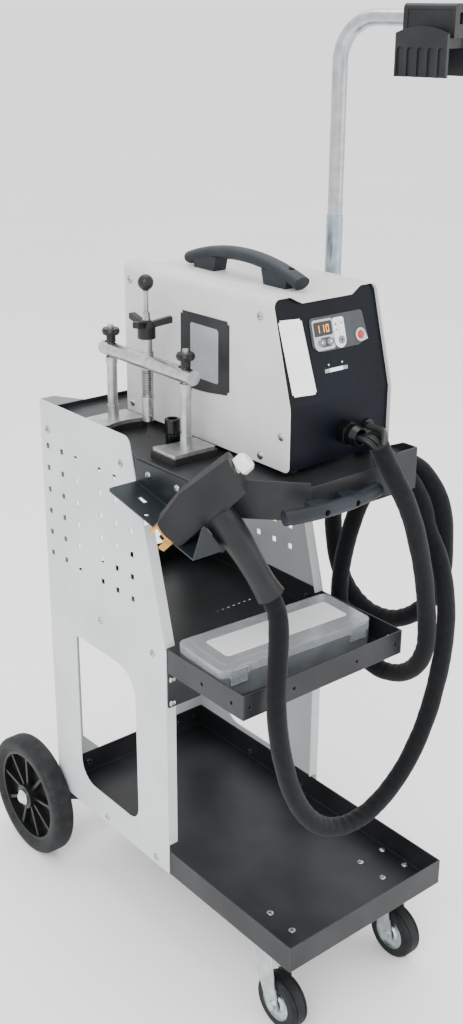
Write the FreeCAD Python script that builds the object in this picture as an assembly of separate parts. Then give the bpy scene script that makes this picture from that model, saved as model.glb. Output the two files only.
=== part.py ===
"""Dent pulling spot welder on its workshop trolley, with its puller, gun, hose and cable mast.

All sizes are in millimetres. +Z is up, the trolley's front points to -Y.
"""
import FreeCAD, Part
import math
import os
from FreeCAD import Vector

# General sizes
sheet = 1.5
bend_radius = 3.0
overrun = 5.0
fit_gap = 0.3
run_gap = 0.05

# Trolley
trolley_length = 711.0
trolley_width = 292.0
rear_wheel_radius = 100.0
panel_depth = 558.0
panel_top_z = 790.0
tray_floor_z = 138.0
tray_rim = 39.0
middle_tray_z = 472.0
middle_tray_rim = 36.0
middle_tray_front = 100.0
top_tray_z = 768.0
top_tray_front = 93.0
top_skirt = 45.0
top_lip = 7.0
corner_slit = 0.6

# Side panels: front edge, holes, window and flanges
panel_front_low = 261.5
panel_front_top = 337.5
panel_slope_foot_z = 505.0
panel_corner_radius = 14.0
panel_knee_radius = 40.0
window_rear = 70.0
window_length = 152.0
window_bottom_z = 186.0
window_height = 252.0
window_radius_front_low = 25.0
window_radius_rear_low = 34.0
window_radius_rear_top = 8.0
window_radius_front_top = 44.0
hole_side = 8.5
hole_pitch_y = 36.5
hole_pitch_z = 33.6
hole_rows = 6
hole_columns = 3
hole_top_z = 723.0
hole_rear_group = 16.5
hole_front_group = 148.5
hole_short_rows = 4
front_flange = 16.0
front_flange_bottom_z = 188.0
front_flange_top = 50.0
rear_flange_mid = 47.0
rear_flange_wide = 78.0
rear_flange_foot = 75.0
rear_flange_shoulder = 32.0
tab_drop = 56.0
tab_width = 58.0

# Screws of the trolley and the welder, and where they sit
screw_radius = 2.5
screw_hole_radius = 3.0
screw_head_radius = 4.6
screw_head_height = 2.6
screw_drive_radius = 1.6
screw_reach = 9.0
nut_radius = 4.4
nut_height = 3.2
panel_screw_foot_z = 150.5
panel_screw_top_z = 748.0
panel_screw_middle_z = 489.0
panel_screw_front = 292.5
panel_screw_back = 419.5
panel_screw_top_front = 356.5
panel_screw_top_back = 539.5
tab_screw_in = 9.0
tab_screw_first = 13.0
tab_screw_pitch = 37.0
rear_screw_out = 54.0
rear_screw_pitch = 36.0
rear_screw_z = 160.0

# Small slots and holes in the trays
slot_count = 7
slot_pitch = 10.5
slot_width = 5.0
slot_depth = 3.0
slot_start_x = 22.0
slot_y = 5.0
small_hole_radius = 2.8
small_hole_z = 488.0
side_hole_first = 24.0
side_hole_second = 85.0
front_hole_out = 11.0
front_hole_in = 87.0
top_slot_length = 6.0
top_slot_width = 2.6
top_slot_x = -76.0
top_slot_y = 14.0
top_slot_pitch = 9.0

# Top tray: the front left corner cut off, the front right one raised
corner_cut_x = 98.5
corner_cut_y = 104.5
corner_rise = 6.0
pocket_rise = 12.0
pocket_side = 25.0
pocket_slope = 27.0
pocket_front = 34.5
pocket_front_slope = 32.0

# Rear wheels and axle
rear_wheel_width = 36.0
rear_rim_radius = 77.0
rear_rim_inset = 5.0
tyre_shoulder = 9.0
wheel_clearance = 2.0
axle_radius = 10.0
axle_spacer_radius = 14.0
hub_boss_radius = 20.0
hub_wall = 5.0
hub_web = 4.0
hub_spokes = 9
hub_spoke_thickness = 5.0
hub_spoke_inset = 5.0
axle_cap_radius = 13.0
axle_cap_height = 9.0
axle_cap_edge = 3.0
bracket_drop = 20.0
bracket_sheet = 3.0
bracket_inset = 18.0
bracket_length = 70.0
bracket_flange = 22.0
bracket_round = 12.0

# Castors
castor_radius = 40.0
castor_width = 27.0
castor_x = 112.0
castor_pivot_back = 80.0
castor_trail = 32.0
castor_plate = 62.0
castor_plate_thickness = 3.0
castor_bolt_share = 0.37
castor_fork_gap = 2.0
castor_fork_sheet = 2.5
castor_fork_width = 44.0
castor_fork_foot = 11.0
castor_disc_radius = 25.0
castor_disc_dish = 3.0
castor_disc_boss = 11.0
castor_groove = 1.6
castor_groove_place = 6.0
castor_tread_round = 6.0
castor_bearing_radius = 24.0
castor_bearing_height = 8.0
castor_pin_radius = 5.0
castor_pin_head = 8.0
castor_bolt_radius = 4.0
castor_bolt_head = 7.0
castor_bolt_head_height = 4.5

# Welder housing
welder_left_x = -50.0
welder_width = 178.0
welder_length = 346.0
welder_front = 36.5
welder_foot_height = 8.0
welder_height = 213.0
welder_knee_height = 82.0
welder_lean = 36.0
welder_corner = 12.0
welder_front_corner = 7.0
channel_width = 84.0
channel_depth = 9.0
channel_slope = 17.0
front_recess = 5.0
rear_recess = 3.0
chassis_flange = 32.0
welder_foot_radius = 10.0
welder_foot_inset = 24.0
side_screw_rear = 13.0
side_screw_top = 24.0
side_screw_low = 168.0
front_screw_top_back = 58.0
front_screw_middle_back = 15.0
front_screw_low_back = 54.0
front_screw_low_drop = 203.0

# Handles: a bowed bar on two legs
handle_width = 26.0
handle_thickness = 18.0
handle_length = 228.0
handle_rise = 38.5
handle_bow = 20.0
handle_leg = 42.0
handle_leg_taper = 5.0
handle_leg_inset = 20.0
handle_leg_width = 22.0
handle_front = 81.0
handle_hole_radius = 4.0
handle_hole_depth = 8.0
front_handle_length = 158.0
front_handle_rise = 33.0
front_handle_bow = 12.0
front_handle_left = 46.0
front_handle_drop = 14.0
front_handle_leg_inset = 44.0
front_handle_leg = 18.0
front_handle_width = 19.0
front_handle_thickness = 20.0

# Control panel, in the plane of the slanted front
keypad_width = 96.0
keypad_height = 43.5
keypad_left = 56.0
keypad_up = 60.0
keypad_thickness = 1.2
keypad_round = 5.0
keypad_skew = 7.0
keypad_lean = 5.0
keypad_tail = 18.0
keypad_toe = 14.0
display_left = 5.3
display_up = 19.6
display_width = 31.0
display_height = 17.8
display_thickness = 0.8
key_up = 11.5
key_left = 15.8
key_pitch = 14.8
key_width = 12.0
key_height = 8.5
key_round = 4.0
key_stand = 1.4
key_flange = 1.5
key_flange_thickness = 1.0
select_left = 49.5
select_up = 10.5
select_radius = 5.0
red_left = 83.0
red_up = 12.2
red_radius = 5.5
bezel_reach = 8.5
bezel_stand = 0.8

# Gland, grommets, mains inlet and switch
gland_left = 100.0
gland_up = 34.0
gland_thread_radius = 10.0
gland_nut_radius = 16.5
gland_nut_length = 12.0
gland_ring_radius = 14.0
gland_ring_length = 9.0
gland_dome_length = 9.0
gland_bore = 9.5
gland_lock_height = 5.0
grommet_left = 141.0
grommet_radius = 9.5
grommet_bore = 5.0
grommet_stand = 2.5
mains_gland_left = 34.0
mains_gland_up = 30.0
mains_gland_radius = 11.0
switch_left = 34.0
switch_up = 74.0
switch_width = 15.0
switch_height = 21.0
switch_bezel = 2.5
switch_depth = 14.0
switch_rocker = 4.0
switch_gap = 0.5
switch_tilt_deg = 8.0
switch_pin_radius = 1.0

# Inside the welder
fan_side = 80.0
fan_depth = 25.0
fan_left = 112.0
fan_up = 96.0
fan_bore = 37.0
fan_hub_radius = 13.0
fan_blades = 7
fan_blade_gap = 1.5
fan_blade_thickness = 1.6
fan_blade_tilt_deg = 38.0
fan_arm = 4.0
fan_pin_radius = 2.0
vent_slot = 5.0
vent_pitch = 10.0
vent_rows = 6
can_radius = 22.0
can_height = 96.0
can_pitch = 47.0
can_columns = 3
can_left = 34.0
can_rear = 80.0
bus_thickness = 3.0
bus_width = 16.0
board_length = 96.0
board_width = 140.0
board_thickness = 1.6
board_stand = 12.0
board_front = 30.0
board_post_radius = 3.0
board_post_inset = 6.0
sink_length = 60.0
sink_width = 70.0
sink_base = 6.0
sink_height = 34.0
sink_fins = 8
sink_fin = 2.0
supply_length = 70.0
supply_width = 120.0
supply_height = 60.0
supply_up = 3.0

# Mast
mast_out = 14.0
mast_back = 278.5
mast_radius = 11.25
mast_upper_radius = 10.0
mast_wall = 1.2
mast_seam_share = 0.571
mast_foot_z = 726.0
mast_insert = 60.0
mast_arm_z = 1304.0
mast_bend = 54.0
mast_turn_deg = -75.0
mast_plate = 60.0
mast_plate_height = 38.0
mast_plate_thickness = 3.0
mast_screw_pitch = 44.0
mast_screw_z = 745.0

# Saddle at the arm's end: along the arm, across it and in height
saddle_start = 97.0
saddle_length = 70.0
saddle_half_width = 34.0
saddle_wing = 6.0
saddle_top = 17.0
saddle_cap_half = 16.5
saddle_cap_under = 22.0
saddle_cap_round = 7.0
saddle_panel = 1.2
saddle_panel_inset = 6.0
saddle_web_under = 34.0
saddle_web_inset = 6.0
saddle_lip = 9.0
saddle_lip_end = 17.0
saddle_drop = 67.0
saddle_pockets = 5
saddle_pocket_width = 9.0
saddle_pocket_depth = 3.0
saddle_pocket_top = 30.0
saddle_slot_width = 8.0
saddle_slot_height = 13.0
saddle_socket = 60.0

# Puller
puller_x = -96.0
puller_back = 361.0
puller_span = 167.0
puller_bar_z = 878.0
puller_bar_radius = 10.0
puller_overhang = 17.0
puller_slot_width = 8.6
puller_slot_margin = 0.5
puller_leg_radius = 7.0
puller_collar_radius = 8.0
puller_collar_height = 18.0
puller_stem_radius = 4.0
puller_stem_height = 25.0
puller_pad_thickness = 9.0
puller_pad_edge = 3.0
puller_plate_thickness = 4.5
puller_foot_length = 68.0
puller_foot_width = 48.0
puller_foot_back_share = 0.4
puller_foot_round = 5.0
puller_foot_arc = 72.0
knob_radius = 12.5
knob_height = 9.0
knob_neck_radius = 6.5
knob_neck_height = 10.5
knob_lobes = 7
knob_flute_radius = 3.0
clamp_travel = 8.0
spindle_radius = 3.2
spindle_thread_radius = 5.0
spindle_thread_top_z = 945.0
ball_radius = 10.4
ball_neck_radius = 4.5
ball_top_z = 994.0
bush_radius = 7.5
bush_height = 22.0
bush_collar_radius = 9.0
bush_collar_height = 4.0
nut_hub_radius = 12.0
nut_hub_height = 16.0
nut_arm = 34.0
nut_arm_height = 8.0
nut_arm_width = 8.0
nut_arm_rise = 4.0
nut_arms = 3
spring_radius = 7.2
spring_wire_radius = 0.7
spring_turns = 11
spring_samples = 3
spring_sample_step = 7
spring_seat_z = 831.0
spring_seat_height = 4.0
spring_seat_radius = 8.6
claw_bottom_z = 797.0
claw_radius = 7.6
claw_slot = 4.0
claw_slot_wide = 8.0
claw_slot_height = 18.0
claw_hook_height = 6.0

# Spare cup standing on the tray
cup_x = -86.0
cup_back = 320.5
cup_radius = 10.5
cup_height = 40.0
cup_band_height = 20.0
cup_waist = 0.8
cup_bore = 6.5
cup_bore_depth = 14.0

# Organiser box in the middle tray
box_left_x = -138.5
box_front = 51.5
box_turn_deg = -3.2
box_length = 262.0
box_depth = 104.0
box_base_height = 32.0
box_lid_height = 12.0
box_wall = 1.8
box_round = 12.0
box_step = 2.4
box_cells = 4
box_panel_inset = 14.0
box_panel_rise = 1.0
hinge_radius = 2.6
hinge_pin_radius = 1.0
hinge_knuckle = 18.0
hinge_inset = 30.0
latch_width = 26.0
latch_height = 21.0
latch_thickness = 3.0
latch_inset = 15.0
latch_hinge_up = 10.0
latch_pin_radius = 0.9
latch_lug = 2.6

# Gun holder: a bent shelf on the left skirt
holder_rear = 322.0
holder_top_z = 764.0
holder_length = 186.0
holder_slope_deg = 11.5
holder_shelf_width = 46.0
holder_rear_drop = 59.0
holder_flange_length = 112.0
holder_round = 8.0
holder_slot_along = 36.0
holder_slot_in = 17.0
holder_slot_length = 15.0
holder_slot_width = 6.0
holder_hole_along = 76.0
holder_hole_in = 9.0
holder_gusset_height = 42.0
holder_screw_first = 28.0
holder_screw_pitch = 62.0
holder_screw_z = 749.0

# Gun: along the barrel from its nose, across it, and up from its axis
gun_nose_x = -188.5
gun_nose_back = 199.1
gun_nose_z = 710.0
gun_turn_deg = -41.2
gun_tilt_deg = 44.5
gun_length = 128.0
gun_half_width = 22.0
gun_chamfer = 12.0
gun_top_front = 20.0
gun_top_mid = 28.0
gun_top_rear = 21.0
gun_low_front = 19.0
gun_low_mid = 27.0
gun_low_rear = 25.0
gun_mid_along = 52.0
gun_front_along = 6.0
gun_rear_rake = 13.0
gun_wall = 2.5
gun_nose_radius = 17.0
gun_nose_length = 14.0
grip_top_along = 64.0
grip_top_drop = 12.0
grip_bend_along = 53.0
grip_bend_drop = 88.0
grip_end_along = 36.0
grip_end_drop = 150.0
grip_top_radius = 20.0
grip_mid_radius = 17.5
grip_end_radius = 19.0
grip_mouth = 24.0
grip_mouth_floor = 3.0
grip_lead = 14.0
trigger_along = 40.0
trigger_drop = 52.0
trigger_height = 26.0
trigger_width = 11.0
trigger_depth = 8.0
trigger_stand = 6.0
cap_radius = 13.0
cap_height = 15.0
cap_facets = 6
cap_stem_radius = 5.0
cap_stem_length = 12.0
prong_count = 3
prong_length = 15.0
prong_width = 9.0
prong_thickness = 4.0
prong_ring_thickness = 2.5
prong_ring_bore = 11.5
electrode_radius = 6.0
electrode_tip_radius = 3.5
electrode_length = 9.0
electrode_shank = 30.0

# Hose, its hook and the cable tails
hose_radius = 13.0
tail_radius = 4.5
tail_dip = 9.0
route_arc_share = 0.45
hook_plate_length = 40.0
hook_plate_height = 62.0
hook_plate_top_z = 758.5
hook_screw_z = 736.5
hook_plate_thickness = 3.0
hook_back = 172.0
hook_top_z = 706.5
hook_rod_radius = 4.0
hook_reach = 88.5
hook_tip = 8.0
hook_bend = 12.0
hook_screw_pitch = 26.0

# Places worked out from the sizes
half_width = trolley_width / 2
inner_half = half_width - sheet
front_y = -trolley_length / 2
rear_axle_y = trolley_length / 2 - rear_wheel_radius
panel_rear_y = front_y + panel_depth
tray_rear_y = panel_rear_y - sheet
middle_front_y = front_y + middle_tray_front
top_front_y = front_y + top_tray_front
welder_right_x = welder_left_x + welder_width
welder_mid_x = (welder_left_x + welder_right_x) / 2
welder_base_z = top_tray_z + welder_foot_height
welder_top_z = welder_base_z + welder_height
welder_knee_z = welder_base_z + welder_knee_height
welder_front_y = top_front_y + welder_front
welder_rear_y = welder_front_y + welder_length
castor_y = front_y + castor_pivot_back
mast_x = inner_half + mast_out
mast_y = front_y + mast_back
mast_seam_z = mast_foot_z + (mast_arm_z - mast_foot_z) * mast_seam_share
puller_y = front_y + puller_back
hinge_y = box_depth + hinge_radius + fit_gap
nodes = {}


def box(x0, x1, y0, y1, z0, z1):
    """A block between two corners."""
    return Part.makeBox(x1 - x0, y1 - y0, z1 - z0, Vector(x0, y0, z0))


def rod(radius, start, end):
    """A round bar between two points."""
    axis = end.sub(start)
    return Part.makeCylinder(radius, axis.Length, start, axis)


def tube(outer, inner, start, end):
    """A round tube between two points."""
    return rod(outer, start, end).cut(rod(inner, start, end))


def fuse(shapes):
    """One body from several that touch."""
    return shapes[0].multiFuse(shapes[1:]).removeSplitter()


def group(shapes):
    """Separate solids kept together in one node."""
    return Part.makeCompound(shapes)


def frame_at(origin, x_axis, z_axis):
    """The placement whose own X and Z point along the given directions."""
    x_dir = Vector(x_axis).normalize()
    z_dir = Vector(z_axis).normalize()
    y_dir = z_dir.cross(x_dir)
    return FreeCAD.Placement(FreeCAD.Matrix(
        x_dir.x, y_dir.x, z_dir.x, origin.x,
        x_dir.y, y_dir.y, z_dir.y, origin.y,
        x_dir.z, y_dir.z, z_dir.z, origin.z,
        0, 0, 0, 1))


def placed(shape, placement):
    """A copy of a shape moved by a placement."""
    moved = shape.copy()
    moved.Placement = placement.multiply(moved.Placement)
    return moved


def outline(points, radii=0):
    """A closed wire in the XY plane with its corners rounded."""
    corners = [Vector(a, b, 0) for a, b in points]
    count = len(corners)
    if not isinstance(radii, (list, tuple)):
        radii = [radii] * count
    spans = []
    for i in range(count):
        here = corners[i]
        back = corners[i - 1].sub(here).normalize()
        ahead = corners[(i + 1) % count].sub(here).normalize()
        half = back.getAngle(ahead) / 2
        reach = radii[i] / math.tan(half)
        entry = here.add(Vector(back).multiply(reach))
        leave = here.add(Vector(ahead).multiply(reach))
        middle = None
        if radii[i] > 0:
            bisector = back.add(ahead).normalize()
            middle = here.add(bisector.multiply(radii[i] / math.sin(half) - radii[i]))
        spans.append((entry, middle, leave))
    edges = []
    for i in range(count):
        entry, middle, leave = spans[i]
        following = spans[(i + 1) % count][0]
        if middle is not None:
            edges.append(Part.Arc(entry, middle, leave).toShape())
        if leave.distanceToPoint(following) > Part.Vertex(leave).Tolerance:
            edges.append(Part.makeLine(leave, following))
    return Part.Wire(edges)


def slab(points, height, radii=0):
    """An outline drawn in XY, raised along Z."""
    return Part.Face(outline(points, radii)).extrude(Vector(0, 0, height))


def slab_x(points, x0, x1, radii=0):
    """An outline in (y, z), from x0 to x1."""
    place = frame_at(Vector(min(x0, x1), 0, 0), Vector(0, 1, 0), Vector(1, 0, 0))
    return placed(slab(points, abs(x1 - x0), radii), place)


def slab_y(points, y0, y1, radii=0):
    """An outline in (x, z), from y0 to y1."""
    place = frame_at(Vector(0, max(y0, y1), 0), Vector(1, 0, 0), Vector(0, -1, 0))
    return placed(slab(points, abs(y1 - y0), radii), place)


def slab_z(points, z0, z1, radii=0):
    """An outline in (x, y), from z0 to z1."""
    return placed(slab(points, z1 - z0, radii),
                  frame_at(Vector(0, 0, z0), Vector(1, 0, 0), Vector(0, 0, 1)))


def rectangle(a0, a1, b0, b1):
    """The four corners of a rectangle."""
    return [(a0, b0), (a1, b0), (a1, b1), (a0, b1)]


def polygon(count, radius, turn_deg=0):
    """The corners of a regular polygon about the origin."""
    corners = []
    for k in range(count):
        angle = math.radians(turn_deg + 360 * k / count)
        corners.append((radius * math.cos(angle), radius * math.sin(angle)))
    return corners


def lathe(profile, radii=0):
    """A profile of (radius, height) points turned about Z."""
    face = Part.Face(outline(profile, radii))
    face = placed(face, frame_at(Vector(0, 0, 0), Vector(1, 0, 0), Vector(0, -1, 0)))
    return face.revolve(Vector(0, 0, 0), Vector(0, 0, 1), 360)


def mirror_x(shape):
    """The same piece on the other side of the trolley."""
    return shape.mirror(Vector(0, 0, 0), Vector(1, 0, 0))


def turned_about_z(shape, degrees):
    """A copy turned about the Z axis."""
    copy = shape.copy()
    copy.rotate(Vector(0, 0, 0), Vector(0, 0, 1), degrees)
    return copy


def hexagon(radius, start, direction, length):
    """A hexagonal bar from a point along a direction."""
    side = Vector(0, 0, 1)
    if abs(direction.z) > abs(direction.x) + abs(direction.y):
        side = Vector(1, 0, 0)
    return placed(slab(polygon(6, radius), length), frame_at(start, side, direction))


def screw(spot, thickness):
    """A pan-head screw on a sheet's outer face, with its nut on the inner one."""
    head_at, inward = spot
    head = lathe([(0, 0), (screw_head_radius, 0), (screw_head_radius, screw_head_height / 2),
                  (screw_head_radius / 2, screw_head_height), (0, screw_head_height)])
    drive = slab(polygon(6, screw_drive_radius), screw_head_height)
    drive.translate(Vector(0, 0, screw_head_height / 2))
    shank = Part.makeCylinder(screw_radius, thickness + nut_height, Vector(0, 0, -thickness - nut_height))
    nut = slab(polygon(6, nut_radius), nut_height)
    nut.translate(Vector(0, 0, -thickness - nut_height))
    whole = fuse([head.cut(drive), shank, nut])
    side = Vector(0, 0, 1)
    if abs(inward.z) > abs(inward.x) + abs(inward.y):
        side = Vector(1, 0, 0)
    return placed(whole, frame_at(head_at, side, Vector(inward).multiply(-1)))


def drill(shape, spots):
    """Clearance holes through the sheets for the screws at the given spots."""
    holes = []
    for spot, inward in spots:
        start = spot.sub(Vector(inward).multiply(screw_reach))
        end = spot.add(Vector(inward).multiply(screw_reach))
        holes.append(rod(screw_hole_radius, start, end))
    return shape.cut(group(holes))


def both_sides(spots):
    """The same screw places mirrored to the right side."""
    mirrored = []
    for spot, inward in spots:
        mirrored.append((Vector(-spot.x, spot.y, spot.z), Vector(-inward.x, inward.y, inward.z)))
    return spots + mirrored


# Screw places of the trolley: a point on the outer face and the way in
panel_screws = []
for screw_y, screw_z in ((front_y + panel_screw_back, panel_screw_foot_z),
                         (front_y + panel_screw_front, panel_screw_foot_z),
                         (front_y + panel_screw_top_front, panel_screw_top_z),
                         (front_y + panel_screw_top_back, panel_screw_top_z),
                         (front_y + panel_screw_front, panel_screw_middle_z),
                         (front_y + panel_screw_back, panel_screw_middle_z)):
    panel_screws.append((Vector(-half_width, screw_y, screw_z), Vector(1, 0, 0)))
panel_screws = both_sides(panel_screws)
tab_screws = []
for tab_row in range(2):
    tab_screw_z = middle_tray_z - tab_screw_first - tab_row * tab_screw_pitch
    tab_screws.append((Vector(-half_width + tab_screw_in, front_y + panel_front_low - sheet, tab_screw_z),
                       Vector(0, 1, 0)))
tab_screws = both_sides(tab_screws)
rear_screws = []
for rear_step in range(2):
    rear_screw_x = -half_width + rear_screw_out - rear_step * rear_screw_pitch
    rear_screws.append((Vector(rear_screw_x, panel_rear_y, rear_screw_z), Vector(0, -1, 0)))
rear_screws = both_sides(rear_screws)
holder_screws = []
for holder_step in range(2):
    holder_screw_y = front_y + holder_rear - holder_screw_first - holder_step * holder_screw_pitch
    holder_screws.append((Vector(-half_width, holder_screw_y, holder_screw_z), Vector(1, 0, 0)))
mast_screws = []
for mast_side in (-1, 1):
    mast_screw_y = mast_y + mast_side * mast_screw_pitch / 2
    mast_screws.append((Vector(inner_half + mast_plate_thickness, mast_screw_y, mast_screw_z),
                        Vector(-1, 0, 0)))
hook_screws = []
for hook_side in (-1, 1):
    hook_screw_y = front_y + hook_back + hook_side * hook_screw_pitch / 2
    hook_screws.append((Vector(inner_half + hook_plate_thickness, hook_screw_y, hook_screw_z),
                        Vector(-1, 0, 0)))
castor_screws = []
for castor_side in (-1, 1):
    for bolt_x in (-1, 1):
        for bolt_y in (-1, 1):
            bolt_spot = Vector(castor_side * castor_x + bolt_x * castor_plate * castor_bolt_share,
                               castor_y + bolt_y * castor_plate * castor_bolt_share, tray_floor_z + sheet)
            castor_screws.append((bolt_spot, Vector(0, 0, -1)))


def panel_front_edge(z):
    """The y of a side panel's front edge at a height."""
    low_y = front_y + panel_front_low
    top_y = front_y + panel_front_top
    share = max(0, (z - panel_slope_foot_z) / (panel_top_z - panel_slope_foot_z))
    return low_y + (top_y - low_y) * share


def panel_holes():
    """The square holes in the upper part of a panel and the window in its lower part."""
    window_y = panel_rear_y - window_rear
    x0 = -half_width - overrun
    x1 = -inner_half + overrun
    window = slab_x(rectangle(window_y - window_length, window_y, window_bottom_z,
                              window_bottom_z + window_height),
                    x0, x1, [window_radius_front_low, window_radius_rear_low,
                             window_radius_rear_top, window_radius_front_top])
    cuts = [window]
    for start in (hole_rear_group, hole_front_group):
        for column in range(hole_columns):
            y = panel_rear_y - start - column * hole_pitch_y
            first_row = 0
            if y < front_y + panel_front_top + hole_side:
                first_row = hole_rows - hole_short_rows
            for row in range(first_row, hole_rows):
                z = hole_top_z - row * hole_pitch_z
                cuts.append(box(x0, x1, y - hole_side / 2, y + hole_side / 2, z - hole_side / 2,
                                z + hole_side / 2))
    return group(cuts)


def front_flange_strip(low_z, high_z):
    """The inward fold along the panel's front edge between two heights."""
    levels = [low_z, high_z]
    if low_z < panel_slope_foot_z < high_z:
        levels = [low_z, panel_slope_foot_z, high_z]
    edge = [(panel_front_edge(z), z) for z in levels]
    back = [(panel_front_edge(z) + sheet, z) for z in reversed(levels)]
    return slab_x(edge + back, -half_width, -half_width + front_flange)


def rear_flange():
    """The inward fold along the panel's rear edge."""
    foot_z = tray_floor_z + sheet
    shoulder_z = foot_z + tray_rim
    neck_z = panel_top_z - rear_flange_wide
    points = [(-half_width, foot_z), (-half_width + rear_flange_foot, foot_z),
              (-half_width + rear_flange_foot, shoulder_z),
              (-half_width + rear_flange_mid, shoulder_z + rear_flange_shoulder),
              (-half_width + rear_flange_mid, neck_z),
              (-half_width + rear_flange_wide, neck_z + rear_flange_shoulder),
              (-half_width + rear_flange_wide, panel_top_z - front_flange),
              (-half_width + rear_flange_mid / 2, panel_top_z), (-half_width, panel_top_z)]
    return slab_y(points, tray_rear_y, panel_rear_y)


def side_panel():
    """The left side panel with its flanges, holes and window."""
    low_y = panel_front_edge(tray_floor_z)
    top_y = panel_front_edge(panel_top_z)
    plate = slab_x([(panel_rear_y, tray_floor_z), (panel_rear_y, panel_top_z), (top_y, panel_top_z),
                    (low_y, panel_slope_foot_z), (low_y, tray_floor_z)], -half_width, -inner_half,
                   [0, 0, panel_corner_radius, panel_knee_radius, bend_radius])
    strips = [front_flange_strip(front_flange_bottom_z, middle_tray_z - fit_gap),
              front_flange_strip(middle_tray_z + middle_tray_rim + fit_gap,
                                 top_tray_z - top_skirt - front_flange_top)]
    return fuse([plate.cut(panel_holes())] + strips + [rear_flange()])


def open_tray(tray_front, floor_z, rim):
    """A folded sheet tray with a slit at each upright corner."""
    rim_top = floor_z + rim
    outer = box(-inner_half, inner_half, tray_front, tray_rear_y, floor_z, rim_top)
    inner = box(-inner_half + sheet, inner_half - sheet, tray_front + sheet, tray_rear_y - sheet,
                floor_z + sheet, rim_top + overrun)
    tray = outer.cut(inner)
    for low, high in ((tray_front - overrun, tray_front + sheet),
                      (tray_rear_y - sheet, tray_rear_y + overrun)):
        slit = box(inner_half - sheet - corner_slit, inner_half - sheet, low, high, floor_z + sheet,
                   rim_top + overrun)
        tray = tray.cut(slit).cut(mirror_x(slit))
    return tray


def middle_tray():
    """The middle tray with its tabs, its row of slots and its small holes."""
    tray = open_tray(middle_front_y, middle_tray_z, middle_tray_rim)
    tab_front = front_y + panel_front_low - sheet
    tab = slab_y([(-inner_half, middle_tray_z + sheet), (-inner_half, middle_tray_z - tab_drop),
                  (-inner_half + tab_width, middle_tray_z - tab_drop), (-inner_half + tab_width,
                                                                        middle_tray_z + sheet)],
                 tab_front, tab_front + sheet, [0, bend_radius, bend_radius, 0])
    tray = fuse([tray, tab, mirror_x(tab)])
    cuts = []
    for k in range(slot_count):
        x = slot_start_x + k * slot_pitch
        cuts.append(box(x, x + slot_width, slot_y, slot_y + slot_depth, middle_tray_z - overrun,
                        middle_tray_z + overrun))
    for back in (side_hole_first, side_hole_second):
        y = middle_front_y + back
        cuts.append(rod(small_hole_radius, Vector(-half_width, y, small_hole_z),
                        Vector(half_width, y, small_hole_z)))
    for inset in (front_hole_out, front_hole_in):
        for side in (-1, 1):
            x = side * (inner_half - inset)
            cuts.append(rod(small_hole_radius, Vector(x, middle_front_y - overrun, small_hole_z),
                            Vector(x, middle_front_y + overrun, small_hole_z)))
    return tray.cut(group(cuts))


def corner_plate():
    """The upright plate across the top tray's cut corner."""
    run = Vector(corner_cut_x, -corner_cut_y, 0)
    start = Vector(-inner_half, top_front_y + corner_cut_y, top_tray_z)
    plate = slab(rectangle(0, run.Length, -top_skirt, corner_rise), sheet)
    outward = run.cross(Vector(0, 0, 1))
    plate = placed(plate, frame_at(start, run, outward))
    inward = Vector(outward).normalize().multiply(-sheet)
    plate.translate(inward)
    return plate


def top_tray():
    """The top tray with its skirts, raised right corner and front left corner cut off."""
    top_z = top_tray_z
    low_z = top_z - top_skirt
    pocket_z = top_z + pocket_rise
    cut_y = top_front_y + corner_cut_y
    cut_x = -inner_half + corner_cut_x
    plan = [(-inner_half, tray_rear_y), (-inner_half, cut_y), (cut_x, top_front_y),
            (inner_half, top_front_y), (inner_half, tray_rear_y)]
    floor = slab_z(plan, top_z - sheet, top_z)
    left = box(-inner_half, -inner_half + sheet, cut_y, tray_rear_y, low_z, top_z)
    right = slab_x([(tray_rear_y, low_z), (tray_rear_y, top_z),
                    (top_front_y + pocket_side + pocket_slope, top_z),
                    (top_front_y + pocket_side, pocket_z), (top_front_y, pocket_z), (top_front_y, low_z)],
                   inner_half - sheet, inner_half, [0, 0, panel_corner_radius, panel_corner_radius, sheet,
                                                    0])
    front = slab_y([(cut_x, low_z), (cut_x, top_z),
                    (inner_half - pocket_front - pocket_front_slope, top_z),
                    (inner_half - pocket_front, pocket_z), (inner_half, pocket_z), (inner_half, low_z)],
                   top_front_y, top_front_y + sheet, [0, 0, panel_corner_radius, panel_corner_radius,
                                                      sheet, 0])
    rear = box(-inner_half, inner_half, tray_rear_y - sheet, tray_rear_y, low_z, top_z + top_lip)
    tray = fuse([floor, left, right, front, rear, corner_plate()])
    cuts = []
    for k in range(-1, 2):
        x = top_slot_x + k * top_slot_pitch
        y = top_slot_y - k * top_slot_length
        cuts.append(box(x - top_slot_length / 2, x + top_slot_length / 2, y - top_slot_width / 2,
                        y + top_slot_width / 2, top_z - overrun, top_z + overrun))
    return tray.cut(group(cuts))


def axle_brackets():
    """The two plates under the bottom tray that carry the rear axle."""
    axle_z = rear_wheel_radius
    outer_x = -inner_half + bracket_inset
    start_y = tray_rear_y - bracket_length
    web = slab_x([(start_y, tray_floor_z), (tray_rear_y, tray_floor_z),
                  (rear_axle_y + bracket_drop, axle_z + bracket_drop),
                  (rear_axle_y + bracket_drop, axle_z - bracket_drop), (rear_axle_y - bracket_drop,
                                                                        axle_z - bracket_drop)],
                 outer_x, outer_x + bracket_sheet, [0, 0, bracket_round, bracket_round, bracket_round])
    flange = box(outer_x, outer_x + bracket_flange, start_y, tray_rear_y, tray_floor_z - bracket_sheet,
                 tray_floor_z)
    hole = rod(axle_radius + run_gap, Vector(-half_width, rear_axle_y, axle_z),
               Vector(0, rear_axle_y, axle_z))
    bracket = fuse([web, flange]).cut(hole)
    return group([bracket, mirror_x(bracket)])


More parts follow.
